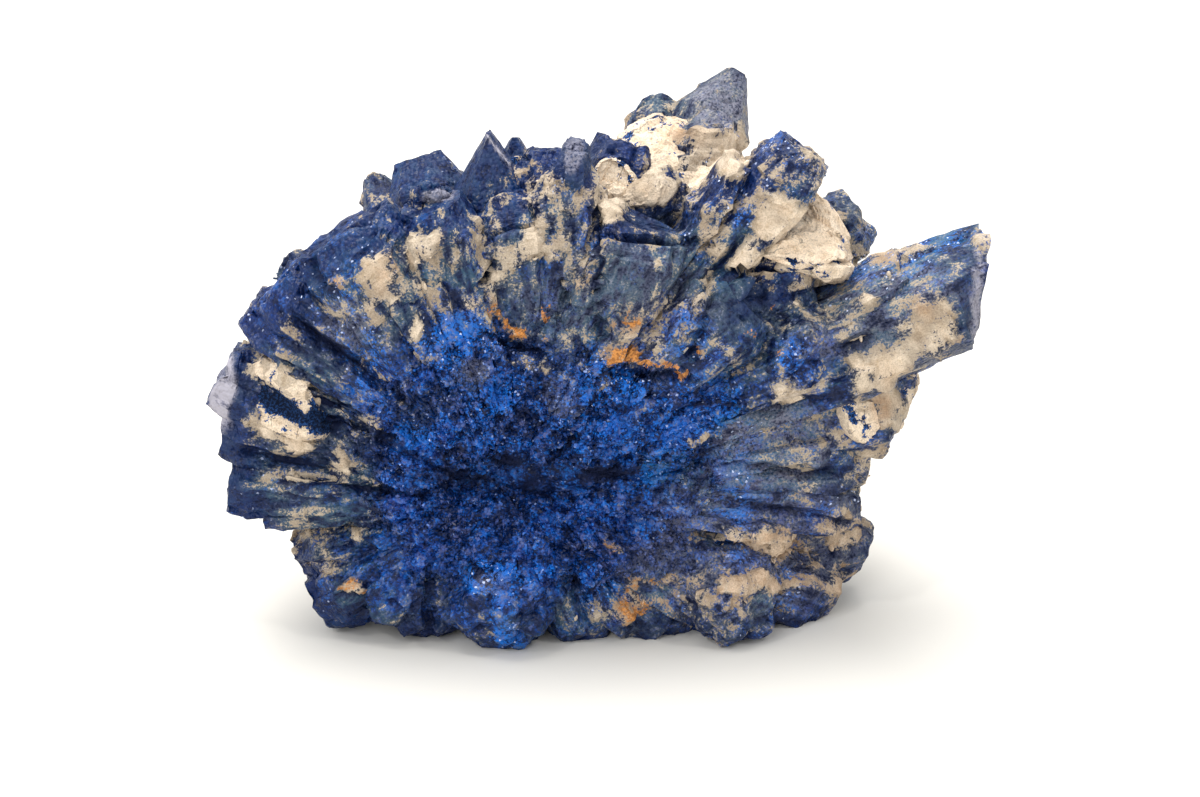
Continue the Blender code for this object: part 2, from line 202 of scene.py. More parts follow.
def blade_axes(blade):
    """Length of a blade and unit vectors along it, across the fan and front to back, rolled about its
    length."""
    turn = math.radians(blade.bearing)
    offset = np.array((blade.reach * math.cos(turn), blade.lean, blade.reach * math.sin(turn)))
    length = float(np.linalg.norm(offset))
    along = offset / length
    deep = np.array((0.0, 1.0, 0.0)) - along * along[1]
    deep /= np.linalg.norm(deep)
    across = np.cross(along, deep)
    roll = math.radians(blade.roll)
    return (
        length,
        along,
        across * math.cos(roll) + deep * math.sin(roll),
        deep * math.cos(roll) - across * math.sin(roll),
    )


def blade_outline(blade, number, around):
    """The blade's section as `around` points, each (across, deep): eight uneven corners joined by straight
    sides."""
    rng = random.Random(number)
    corners = [(1, -0.4), (1, 0.4), (0.55, 1), (-0.55, 1)]
    corners += [(-a, -d) for a, d in corners]
    corners = np.array(
        [
            (a * blade.across / 2 * rng.uniform(0.88, 1.05), d * blade.deep / 2 * rng.uniform(0.88, 1.05))
            for a, d in corners
        ]
    )
    place = np.linspace(0, len(corners), around, endpoint=False)
    first = np.floor(place).astype(int)
    part = (place - first)[:, None]
    return corners[first] * (1 - part) + corners[(first + 1) % len(corners)] * part


def blade_growth(blade, length, distance):
    """Shares of a blade's width and thickness at a distance from the root: they grow in straight lines to a
    shoulder and to the start of the sloped end, and fall to the tip's."""
    stations = (-1.0, 0.5 * length, length - blade.chisel, length)
    wide = np.interp(distance, stations, (ROOT_SHARE, SHOULDER_GROWTH, 1.0, blade.tip_across))
    thick = np.interp(distance, stations, (ROOT_SHARE, SHOULDER_GROWTH, 1.0, blade.tip_deep))
    return wide, thick


def blade_points(blade, number, around, along_rows, start_share):
    """Grid of a blade: its section widens from the root to a shoulder, narrows over the sloped end, and
    shrinks to a point in the middle of the end face. Rows run from the root to that point."""
    length, along, across, deep = blade_axes(blade)
    outline = blade_outline(blade, number, around)
    distance = np.linspace(start_share * length, length, along_rows)
    wide, thick = blade_growth(blade, length, distance)
    sloped = np.clip((distance - length + blade.chisel) / blade.chisel, 0, 1)
    shrink = np.linspace(1, CAP_POINT, CAP_ROWS + 1)[1:]
    distance = np.concatenate((distance, np.full(CAP_ROWS, length)))
    wide = np.concatenate((wide, blade.tip_across * shrink))
    thick = np.concatenate((thick, blade.tip_deep * shrink))
    lift = np.concatenate((sloped, shrink)) * blade.slant / blade.across
    ahead = distance[:, None] + lift[:, None] * outline[None, :, 0]
    return (
        ROOT
        + ahead[..., None] * along
        + (wide[:, None] * outline[None, :, 0])[..., None] * across
        + (thick[:, None] * outline[None, :, 1])[..., None] * deep
    )


def grid_normals(points):
    """Outward normals of a grid that closes on itself round its rows: the cross product of its two slopes."""
    down = np.gradient(points, axis=0)
    round_it = np.roll(points, -1, axis=1) - np.roll(points, 1, axis=1)
    normal = np.cross(round_it, down)
    size = np.linalg.norm(normal, axis=-1, keepdims=True)
    normal = normal / np.maximum(size, 1e-9)
    middle = points.mean(axis=(0, 1))
    inward = np.sum(normal * (points - middle)) < 0
    return -normal if inward else normal


def scatter_hash(cell, seed):
    """A repeatable number from 0 to 1 for each whole-number cell: its three counts are mixed bit by bit."""
    cell = cell.astype(np.int64)
    mixed = cell[..., 0] * 73856093 ^ cell[..., 1] * 19349663 ^ cell[..., 2] * 83492791
    mixed = mixed ^ (seed * 40503 + 977)
    mixed = (mixed & 0xFFFFFFFF).astype(np.uint64)
    mixed = (mixed ^ (mixed >> np.uint64(13))) * np.uint64(1274126177) & np.uint64(0xFFFFFFFF)
    mixed = (mixed ^ (mixed >> np.uint64(15))) * np.uint64(2246822519) & np.uint64(0xFFFFFFFF)
    mixed = mixed ^ (mixed >> np.uint64(16))
    return (mixed & np.uint64(0xFFFFFF)).astype(np.float64) / 0xFFFFFF


def swells(points, size, seed):
    """Smooth noise from -1 to 1: numbers at the corners of cubes of that size, blended between them."""
    place = points / size
    cell = np.floor(place)
    part = place - cell
    part = part * part * (3 - 2 * part)
    total = np.zeros(points.shape[:-1])
    for corner in itertools.product((0, 1), repeat=3):
        share = np.abs(np.array(corner) - 1 + part).prod(axis=-1)
        total += share * scatter_hash(cell + corner, seed)
    return 2 * total - 1


def rough_swells(points, size, seed, layers=4):
    """Layers of swells, each half the size and half the height of the one before."""
    return sum(swells(points, size / 2**n, seed + n) / 2**n for n in range(layers)) / 1.6


def cells(points, size, seed):
    """Distance to the nearest of the scattered cell middles, as a share of the cell size, and that cell's
    number."""
    place = points / size
    base = np.floor(place)
    nearest = np.full(points.shape[:-1], 9.0)
    number = np.zeros(points.shape[:-1])
    for beside in itertools.product((-1, 0, 1), repeat=3):
        cell = base + beside
        spot = cell + np.stack([scatter_hash(cell, seed + k) for k in (0, 1, 2)], axis=-1)
        gap = ((place - spot) ** 2).sum(axis=-1)
        closer = gap < nearest
        nearest = np.where(closer, gap, nearest)
        number = np.where(closer, scatter_hash(cell, seed + 3), number)
    return np.sqrt(nearest), number


def ramp(value, low, high):
    """0 below low, 1 above high, and a smooth rise between."""
    part = np.clip((value - low) / (high - low), 0, 1)
    return part * part * (3 - 2 * part)


# The hollow front: between the blades the azurite is a shallow dish of tiny crystals, a druse, with a pit
# where the blades meet, darkened with painted shade. It grew together with the blades and with a rounded
# heart behind it.

HEART_CENTRE = np.array((-1.0, -1.0, 13.5))
HEART_RADII = np.array((14.5, 8.5, 10.0))
DISH_SHARES = (0.14, 0.32, 0.5, 0.68, 0.84)
DISH_DEPTHS = (2.0, 3.1, 3.0, 1.8, 0.2)
DISH_BACK_SHARE = 0.6
DISH_BACK = 6.0
PIT_CENTRE = np.array((-4.2, -11.6, 10.3))
PIT_RADII = np.array((5.6, 4.0, 2.0))
CREST_HEIGHT = 0.8
CREST_RISE, CREST_FALL = (0.12, 0.4), (0.48, 0.62)


def fan_value(bearing, field):
    """A size of the fan's blades at any bearing in degrees, in a straight line from blade to blade."""
    blades = sorted(FAN_BLADES, key=lambda blade: blade.bearing)
    places = [blade.bearing for blade in blades]
    return np.interp(bearing % 360, places, [getattr(blade, field) for blade in blades], period=360)


def dish_front(bearing, share):
    """Y of the dish's front: the root's, plus the blades' lean, less a depth that follows five rings."""
    depth = np.interp(share, (0.0,) + DISH_SHARES, (DISH_DEPTHS[0],) + DISH_DEPTHS)
    return ROOT[1] + fan_value(bearing, "lean") * share - depth


def dish_fill(place):
    """True where a point lies behind the dish's front and within its rim."""
    bearing = np.degrees(np.arctan2(place[..., 2] - ROOT[2], place[..., 0] - ROOT[0]))
    share = np.hypot(place[..., 2] - ROOT[2], place[..., 0] - ROOT[0]) / fan_value(bearing, "reach")
    front = dish_front(bearing, share)
    return (share < DISH_SHARES[-1]) & (place[..., 1] > front) & (place[..., 1] < ROOT[1] + DISH_BACK)


def blade_crests(bearing, share):
    """Ridges of the dish from 0 to 1, one in front of each blade: a parabola over the blade's width."""
    crest = np.zeros_like(share)
    for blade in FAN_BLADES:
        turn = (bearing - blade.bearing + 180) % 360 - 180
        aside = np.radians(turn) * share * fan_value(bearing, "reach")
        half = blade.across / 2 * np.interp(share, (0, 0.5, 1), (ROOT_SHARE, SHOULDER_GROWTH, 1.0))
        crest = np.maximum(crest, 1 - (aside / half) ** 2)
    return crest


def dish_points(around, front_rows, back_rows):
    """Grid of the dish, from the middle of its front out to the rim and then back behind the blades."""
    bearing = np.linspace(-180, 180, around, endpoint=False)[None, :]
    share = np.linspace(0.01, DISH_SHARES[-1], front_rows)[:, None]
    reach = fan_value(bearing, "reach")
    front = dish_front(bearing, share)
    shown = ramp(share, *CREST_RISE) * (1 - ramp(share, *CREST_FALL))
    front = front - CREST_HEIGHT * blade_crests(bearing, share * np.ones_like(bearing)) * shown
    part = np.linspace(0, 1, back_rows + 1)[1:, None]
    back_share = DISH_SHARES[-1] + part * (DISH_BACK_SHARE - DISH_SHARES[-1])
    back = front[-1:] * (1 - part) + (ROOT[1] + DISH_BACK) * part
    share = np.concatenate((share, back_share)) * np.ones_like(bearing)
    depth = np.concatenate((front, back))
    turn = np.radians(bearing)
    points = np.stack(
        (ROOT[0] + share * reach * np.cos(turn), depth, ROOT[2] + share * reach * np.sin(turn)), axis=-1
    )
    hollow = 1 - (((points - PIT_CENTRE) / PIT_RADII)[..., (0, 2)] ** 2).sum(axis=-1)
    pit = PIT_CENTRE[1] + PIT_RADII[1] * np.sqrt(np.clip(hollow, 0, 1))
    inside = (hollow > 0) & (np.arange(len(points))[:, None] < front_rows)
    points[..., 1] = np.where(inside, np.maximum(points[..., 1], pit), points[..., 1])
    return points


# How sheltered each place is: clay stays in the gaps between the blades and wears off their edges. The
# crystals fill a coarse block of small cubes, and its blurred copies tell how much stone is round a place.

# The deepest shelter is also painted dark, as shade.
GRID_STEP = 0.4
GRID_MARGIN = 2.0
GRID_LOW = np.array((-27.0, -17.0, -3.0))
GRID_HIGH = np.array((27.0, 17.0, 36.0))


def blade_fill(place, blade):
    """True where a point lies in the blade: between the root and the end, its distances across and deep, over
    the blade's half widths there, have cubes that add up to less than 1."""
    length, along, across, deep = blade_axes(blade)
    offset = place - ROOT
    distance = offset @ along
    wide, thick = blade_growth(blade, length, distance)
    wide = wide * blade.across / 2
    thick = thick * blade.deep / 2
    cubes = np.abs(offset @ across / wide) ** 3 + np.abs(offset @ deep / thick) ** 3
    return (cubes < 1) & (distance > 0) & (distance < length)


def fill_block():
    """The coarse block with every blade, the heart and the dish filled in. A blade is looked for only in its
    own box."""
    axes = [np.arange(low, high, GRID_STEP) for low, high in zip(GRID_LOW, GRID_HIGH)]
    place = np.stack(np.meshgrid(*axes, indexing="ij"), axis=-1)
    fill = (((place - HEART_CENTRE) / HEART_RADII) ** 2).sum(axis=-1) < 1
    fill |= dish_fill(place)
    for blade in BLADES:
        length, along, _, _ = blade_axes(blade)
        tip = ROOT + length * along
        reach = max(blade.across, blade.deep) + GRID_MARGIN
        low = np.floor((np.minimum(ROOT, tip) - reach - GRID_LOW) / GRID_STEP).astype(int)
        high = np.ceil((np.maximum(ROOT, tip) + reach - GRID_LOW) / GRID_STEP).astype(int)
        box = tuple(slice(max(first, 0), max(last, 0)) for first, last in zip(low, high))
        fill[box] |= blade_fill(place[box], blade)
    return fill & (place[..., 2] > 0)


SOLID_BLOCK = fill_block()


def solid_share(radius):
    """Share of solid round each point of the block: the filled block, blurred by a bell of that radius."""
    waves = [np.fft.fftfreq(n, GRID_STEP) for n in SOLID_BLOCK.shape]
    spread = [np.exp(-2 * (np.pi * radius * wave) ** 2) for wave in waves]
    blur = spread[0][:, None, None] * spread[1][None, :, None] * spread[2][None, None, :]
    return np.fft.ifftn(np.fft.fftn(SOLID_BLOCK.astype(float)) * blur).real


def read_block(block, points):
    """The block's number at each point, blended in a straight line between its eight nearest corners."""
    place = (points - GRID_LOW) / GRID_STEP
    cell = np.clip(np.floor(place).astype(int), 0, np.array(block.shape) - 2)
    part = np.clip(place - cell, 0, 1)
    total = np.zeros(points.shape[:-1])
    for corner in itertools.product((0, 1), repeat=3):
        share = np.abs(np.array(corner) - 1 + part).prod(axis=-1)
        total += share * block[tuple(np.moveaxis(cell + corner, -1, 0))]
    return total


NEAR_RADIUS, FAR_RADIUS = 0.8, 2.4
NEAR_AHEAD, FAR_AHEAD = 0.4, 0.8
NEAR_SHARE = solid_share(NEAR_RADIUS)
FAR_SHARE = solid_share(FAR_RADIUS)


# What grew and settled on the azurite. Each patch is an ellipse on the plane through the specimen's middle
# that faces the view: across, up, half width, half height, tilt in degrees, and amount.

Masks = namedtuple("Masks", "clay rust teal slate bright hollow streak rim pale groove")

CLAY_PATCHES = [
    (-19.4, 1.2, 2.0, 0.8, -36, 0.95),
    (-20.3, -1.5, 1.9, 0.6, -15, 0.9),
    (-18.3, -2.5, 1.0, 0.5, -25, 0.9),
    (-18.3, 3.8, 0.8, 0.35, -45, 0.7),
    (-13.8, -1.4, 0.7, 0.35, -20, 0.7),
    (-11.9, -0.3, 0.35, 0.5, -50, 0.65),
    (-16.0, 0.0, 2.8, 1.1, -35, 0.5),
    (-15.8, 6.8, 1.1, 0.4, -15, 0.7),
    (-13.5, 7.0, 1.2, 1.8, -20, 0.85),
    (-10.8, 9.1, 1.0, 1.3, -50, 0.9),
    (-8.7, 9.0, 0.6, 1.6, -8, 0.7),
    (-11.0, 4.4, 0.3, 0.9, -15, 0.9),
    (-8.0, 6.2, 0.7, 0.9, 0, 0.62),
    (-6.5, 10.5, 1.1, 0.8, 0, 0.55),
    (-5.9, 13.5, 0.7, 0.8, 0, 0.7),
    (-4.7, 8.9, 2.3, 0.8, 40, 0.9),
    (-3.5, 13.6, 0.8, 1.3, 0, 0.55),
    (-2.7, 11.0, 0.8, 0.8, 0, 0.6),
    (0.7, 12.5, 1.2, 1.5, 0, 1.0),
    (3.4, 12.5, 3.0, 1.2, 12, 1.0),
    (1.0, 8.0, 7.5, 5.0, 0, 0.66),
    (-6.5, 12.4, 1.2, 1.6, 0, 0.6),
    (-4.0, 12.6, 1.6, 1.4, 0, 0.7),
    (-3.6, 10.6, 1.6, 0.6, 50, 0.75),
    (0.9, 10.8, 0.8, 1.2, 0, 0.95),
    (0.5, 7.9, 0.35, 1.5, 0, 0.8),
    (4.7, 5.9, 1.0, 0.8, 0, 0.85),
    (4.8, 3.8, 0.6, 1.0, 0, 0.7),
    (-3.2, 1.9, 0.3, 0.6, 0, 0.7),
    (-1.8, 3.7, 0.3, 0.8, 0, 0.6),
    (-4.6, 3.9, 1.2, 0.25, -10, 0.8),
    (-6.0, 5.0, 0.3, 1.0, 35, 0.85),
    (6.5, 6.8, 0.8, 2.4, -24, 0.85),
    (1.3, 2.6, 0.8, 0.35, 15, 0.8),
    (2.6, 2.1, 0.8, 0.18, -10, 0.75),
    (3.8, 2.0, 0.7, 0.16, 5, 0.75),
    (4.9, 1.6, 0.4, 0.5, 0, 0.8),
    (5.6, 2.4, 0.7, 0.2, 50, 0.8),
    (3.0, 4.4, 1.6, 0.7, 0, 0.6),
    (11.4, 10.4, 2.3, 1.7, -20, 1.0),
    (8.6, 8.3, 1.6, 1.4, 25, 1.0),
    (10.4, 8.0, 1.6, 0.7, 20, 1.0),
    (13.6, 8.6, 2.2, 0.6, -15, 0.9),
    (16.9, 8.6, 2.2, 0.5, 5, 0.9),
    (7.1, 14.6, 2.0, 1.2, 25, 1.0),
    (4.6, 15.5, 1.7, 0.5, 15, 0.9),
    (10.9, 13.8, 1.4, 1.6, 0, 0.65),
    (12.6, 14.4, 0.7, 2.1, -5, 0.8),
    (19.3, 5.7, 2.4, 0.7, 38, 0.6),
    (20.3, 3.4, 0.9, 1.6, -25, 0.62),
    (16.4, 1.5, 1.5, 1.6, 0, 1.0),
    (11.3, 0.3, 1.3, 0.7, 10, 1.0),
    (16.0, 5.9, 0.8, 0.5, 15, 0.8),
    (12.1, 6.7, 0.9, 0.3, 10, 0.7),
    (18.2, 6.5, 3.8, 1.4, 22, 0.50),
    (16.0, 5.0, 3.4, 1.2, 25, 0.50),
    (9.8, 12.0, 1.2, 1.5, 0, 0.52),
    (18.2, 1.7, 1.6, 1.6, 0, 0.7),
    (14.2, 10.7, 1.0, 0.8, -20, 0.7),
    (21.3, 5.9, 0.8, 2.5, -10, 0.55),
    (19.8, 4.1, 2.0, 1.3, 22, 0.85),
    (17.2, -0.8, 1.3, 1.7, 20, 0.8),
    (14.5, -2.3, 1.6, 0.9, 0, 0.8),
    (16.6, -3.0, 1.2, 0.8, 0, 0.75),
    (-15.7, -4.5, 0.8, 0.9, 0, 0.95),
    (-16.5, -5.0, 2.6, 0.2, -4, 0.9),
    (-16.9, -9.3, 1.4, 0.8, -10, 0.65),
    (-17.8, -7.7, 0.6, 0.8, 0, 0.65),
    (-14.5, -8.1, 0.4, 0.4, 0, 0.9),
    (-14.8, -11.4, 0.9, 0.4, 0, 0.75),
    (-13.8, -7.0, 1.5, 0.5, 20, 0.5),
    (0.6, -8.4, 0.35, 0.7, 15, 0.7),
    (1.2, -9.0, 0.5, 0.3, -30, 0.66),
    (2.2, -12.4, 1.4, 1.2, 0, 0.8),
    (0.5, -12.7, 1.1, 0.7, 0, 0.75),
    (9.0, -11.2, 2.6, 0.7, 0, 0.85),
    (6.4, -12.0, 0.7, 0.6, 0, 0.8),
    (10.4, -8.8, 1.0, 1.0, 0, 0.85),
    (8.1, -8.0, 1.4, 0.5, -25, 0.8),
    (11.6, -4.2, 1.2, 0.6, -20, 0.7),
    (14.2, -7.7, 1.1, 1.2, 0, 0.75),
    (13.6, -10.8, 1.8, 0.8, 0, 0.7),
    (6.2, -2.2, 0.6, 0.22, 35, 0.8),
    (5.4, -2.5, 0.3, 0.25, 0, 0.75),
    (4.3, -11.0, 0.5, 0.5, 0, 0.7),
]

RUST_PATCHES = [
    (1.3, 2.6, 0.9, 0.4, 15, 1.0),
    (2.6, 2.1, 0.8, 0.22, -10, 1.0),
    (3.8, 2.0, 0.7, 0.2, 5, 1.0),
    (4.9, 1.6, 0.5, 0.5, 0, 1.0),
    (5.6, 2.4, 0.7, 0.25, 50, 1.0),
    (1.6, 4.6, 0.9, 0.5, 0, 0.9),
    (-6.0, 5.0, 0.3, 1.0, 35, 1.0),
    (-4.6, 3.9, 1.3, 0.3, -10, 1.0),
    (-3.2, 4.9, 0.3, 0.9, -10, 0.9),
    (9.4, -9.6, 5.0, 2.6, 0, 0.3),
    (0.8, -8.6, 0.9, 0.9, 0, 0.6),
    (9.1, 3.9, 0.5, 0.4, 0, 0.66),
    (10.7, 2.7, 0.7, 0.4, 0, 0.66),
    (10.4, 5.4, 0.3, 0.4, 0, 0.66),
    (2.2, -12.4, 1.4, 1.2, 0, 0.8),
    (-14.8, -11.4, 1.0, 0.5, 0, 0.8),
    (-15.9, 6.9, 0.6, 0.4, 0, 0.6),
]

TEAL_PATCHES = [
    (-11.0, 7.4, 1.3, 1.8, 0, 1.0),
    (-9.3, 10.2, 0.6, 0.6, 0, 0.9),
    (-12.0, 4.5, 0.7, 0.6, 0, 0.8),
    (-16.5, 1.2, 0.8, 0.5, -30, 0.8),
    (-1.5, 7.7, 0.8, 2.2, 0, 0.7),
    (5.4, 3.2, 1.2, 1.4, 0, 0.7),
    (19.2, 8.9, 3.0, 1.0, 15, 1.0),
    (-8.0, 12.5, 5.0, 2.0, 0, 0.6),
    (3.3, -4.3, 1.0, 1.0, 0, 0.5),
    (7.0, -5.8, 1.5, 1.0, 0, 0.5),
    (-6.9, 5.3, 1.4, 0.8, 0, 0.5),
    (18.5, 7.2, 3.8, 1.8, 20, 1.0),
    (13.5, 5.4, 2.5, 1.2, 15, 0.5),
    (10.5, -3.0, 4.5, 2.2, 10, 0.8),
    (9.5, 2.5, 2.5, 1.6, 0, 0.5),
    (-17.5, 1.2, 2.5, 0.7, -35, 0.7),
]

SLATE_PATCHES = [
    (-7.6, 14.1, 2.2, 2.4, 0, 0.6),
    (3.2, 10.5, 2.1, 1.0, 0, 0.8),
    (1.7, 7.4, 1.4, 1.9, 0, 1.0),
    (4.9, 7.6, 1.4, 1.6, 0, 0.9),
    (-3.7, 6.6, 1.7, 1.6, 0, 0.8),
    (-1.8, 5.4, 1.2, 1.3, 0, 1.0),
    (8.2, 5.6, 1.8, 1.8, 0, 1.0),
    (-2.2, 0.2, 1.0, 1.3, 10, 0.3),
    (-7.6, 1.4, 0.9, 0.9, 0, 0.4),
    (10.1, 2.1, 0.9, 0.7, 0, 0.9),
    (-22.5, -0.1, 0.9, 3.0, 0, 0.9),
    (-22.1, -4.3, 0.8, 2.0, 0, 0.9),
    (-1.5, 14.3, 0.9, 1.6, 0, 1.0),
    (22.2, 6.5, 0.8, 3.0, 0, 0.8),
]

# Painted shade: ellipses that darken the pit where the blades meet.
PIT_SHADE_PATCHES = [
    (-3.6, -4.7, 4.4, 1.3, 2, 0.55),
    (-5.4, -3.7, 1.1, 0.5, 0, 1.0),
    (-4.2, -5.2, 1.3, 0.7, -15, 1.0),
    (0.3, -4.4, 1.8, 0.45, 4, 1.0),
    (-7.9, -4.7, 1.9, 0.5, -4, 0.9),
    (-5.2, -7.0, 1.1, 0.5, 0, 0.6),
    (-10.6, -4.8, 1.2, 0.5, 10, 0.5),
]

# Grooves carved into the relief, each also darkened with painted shade through the hollow mask.
GROOVE_PATCHES = [
    (-15.1, 2.3, 4.3, 0.3, -36, 1.0),
    (-19.6, -0.2, 2.5, 0.5, -33, 1.0),
    (-18.6, -3.9, 2.6, 0.3, -14, 0.9),
    (-14.2, -5.4, 3.0, 0.22, -6, 0.8),
    (-13.0, -2.4, 3.2, 0.3, -28, 0.8),
    (-17.0, 7.4, 0.3, 0.9, 20, 0.8),
    (-6.8, 7.5, 0.2, 0.7, -30, 0.8),
    (-0.2, 7.2, 0.2, 3.4, 0, 1.0),
    (3.4, 9.5, 2.4, 0.16, -4, 0.9),
    (3.6, 10.7, 2.0, 0.5, 0, 0.35),
    (-2.0, 6.0, 0.14, 1.4, 20, 0.7),
    (-5.0, 3.2, 1.4, 0.2, -20, 1.0),
    (0.0, 4.2, 0.4, 0.7, 20, 0.9),
    (6.2, 4.4, 0.2, 2.2, -20, 0.8),
    (3.0, 1.4, 2.2, 0.2, -4, 0.7),
    (7.2, 8.0, 0.18, 2.4, -38, 0.8),
    (11.0, 7.9, 3.6, 0.16, 4, 1.0),
    (15.6, 3.3, 1.2, 0.22, 12, 1.0),
    (11.2, -0.6, 2.4, 0.2, 12, 0.8),
    (10.0, -4.2, 3.4, 0.2, -6, 0.7),
    (11.5, -6.9, 3.0, 0.25, -10, 0.8),
    (-16.6, -1.4, 1.0, 0.9, -30, 1.0),
    (-17.2, -4.0, 0.9, 0.5, -10, 0.6),
    (-10.2, -12.0, 0.3, 1.8, 0, 0.8),
    (-1.2, -12.0, 0.3, 1.6, 15, 0.7),
]

# Pale patches: lilac-grey plates, white crystals and dust, and also painted highlights and sheen on edges and
# ends that catch the light.
PALE_AND_SHEEN_PATCHES = [
    (-22.7, 0.6, 0.7, 2.6, -4, 1.0),
    (-9.8, 12.2, 0.9, 0.35, 10, 0.75),
    (-1.6, 14.6, 0.6, 1.1, -10, 0.5),
    (22.7, 6.7, 0.3, 2.8, -3, 0.8),
    (7.6, 17.4, 1.8, 2.0, 30, 0.5),
    (-6.1, 14.9, 1.4, 0.1, -52, 1.0),
    (-2.3, 0.1, 1.1, 1.2, 0, 0.14),
    (-15.1, 4.5, 1.3, 1.4, 0, 0.2),
    (-7.7, 1.6, 1.2, 0.7, 0, 0.2),
    (10.5, -3.0, 3.6, 2.0, 15, 0.34),
    (-6.4, -11.0, 0.9, 0.6, 0, 0.22),
    (-11.3, -1.2, 0.16, 0.14, 0, 1.0),
    (12.2, 10.9, 0.2, 0.8, 0, 0.4),
    (11.4, 0.4, 0.9, 0.5, 10, 0.5),
    (16.8, 5.2, 4.6, 2.2, 22, 0.2),
    (9.0, -8.6, 6.4, 3.8, 10, 0.16),
    (1.5, 6.0, 5.2, 3.0, 0, 0.13),
]

CLEAN_PATCHES = [
    (-6.5, -9.8, 8.0, 4.2, 0, 1.0),
    (4.0, -5.5, 7.0, 3.0, -10, 0.8),
    (-7.5, 2.0, 4.2, 2.6, 0, 0.9),
    (4.8, 0.2, 4.6, 1.4, 0, 0.9),
    (8.6, 0.4, 2.0, 1.2, 20, 0.5),
    (19.0, 9.4, 3.6, 1.2, 18, 0.7),
]

# Brighter patches: partly bright blue druse, and partly painted light that lightens clay lumps and gathers
# painted glints.
BRIGHT_AND_LIT_PATCHES = [
    (7.1, 12.8, 1.8, 1.2, 30, 1.0),
    (10.7, 15.6, 1.6, 1.2, 30, 0.8),
    (11.6, 9.9, 2.6, 2.0, -15, 1.0),
    (15.6, 7.9, 1.5, 0.7, 20, 0.9),
    (14.1, 5.7, 0.6, 0.9, 0, 0.9),
    (19.0, 9.0, 3.4, 1.1, 18, 1.0),
    (-18.2, 5.8, 0.5, 0.5, 0, 1.0),
    (-10.8, 10.6, 0.4, 0.4, 0, 1.0),
    (-9.0, 3.6, 2.6, 1.2, 0, 0.9),
    (-2.2, 12.6, 0.7, 0.9, 0, 0.7),
    (-4.0, -2.0, 9.0, 4.5, 0, 0.4),
    (4.0, -1.5, 5.0, 2.5, 0, 0.5),
    (15.6, -1.4, 2.0, 1.8, 0, 0.3),
    (-6.6, -10.8, 1.4, 1.0, 0, 1.0),
]


def picture_place(points):
    """Where a point is seen on the plane through the specimen's middle: its distances across and up, each
    multiplied by the camera's distance over the point's depth."""
    right, up, forward = camera_axes()
    offset = points - (CAMERA_TARGET - CAMERA_DISTANCE * forward)
    scale = CAMERA_DISTANCE / (offset @ forward)
    return (offset @ right) * scale, (offset @ up) * scale


SOFT_EDGE, CRISP_EDGE = (0.55, 1.75), (0.9, 1.3)


def patch_amount(points, patches, wander, edge=SOFT_EDGE):
    """The strongest patch at each point: its amount inside the ellipse, falling to none between the two
    sizes of `edge`. `wander` moves that edge in and out, in shares of the ellipse."""
    across, high = picture_place(points)
    amount = np.zeros(points.shape[:-1])
    for x, s, half_width, half_height, tilt, strength in patches:
        cos, sin = math.cos(math.radians(tilt)), math.sin(math.radians(tilt))
        a = ((across - x) * cos + (high - s) * sin) / half_width
        b = ((high - s) * cos - (across - x) * sin) / half_height
        amount = np.maximum(amount, strength * (1 - ramp(np.sqrt(a * a + b * b) + wander, *edge)))
    return amount


def seen_share(points, normals):
    """1 on faces turned to the view or on the hollow front, falling to 0 on the hidden side."""
    _, _, forward = camera_axes()
    facing = ramp(-(normals @ forward), -0.1, 0.25)
    before_back = 1 - ramp(points[..., 1], 5.0, 9.0)
    hollow_front = 1 - ramp(points[..., 1], -8.5, -6.5)
    return np.maximum(facing * before_back, hollow_front)


def fan_share(points):
    """How far out a point lies on the fan: 0 at the root and 1 on the rim, whichever way it lies."""
    offset = points - ROOT
    bearing = np.degrees(np.arctan2(offset[..., 2], offset[..., 0]))
    return np.hypot(offset[..., 0], offset[..., 2]) / fan_value(bearing, "reach")


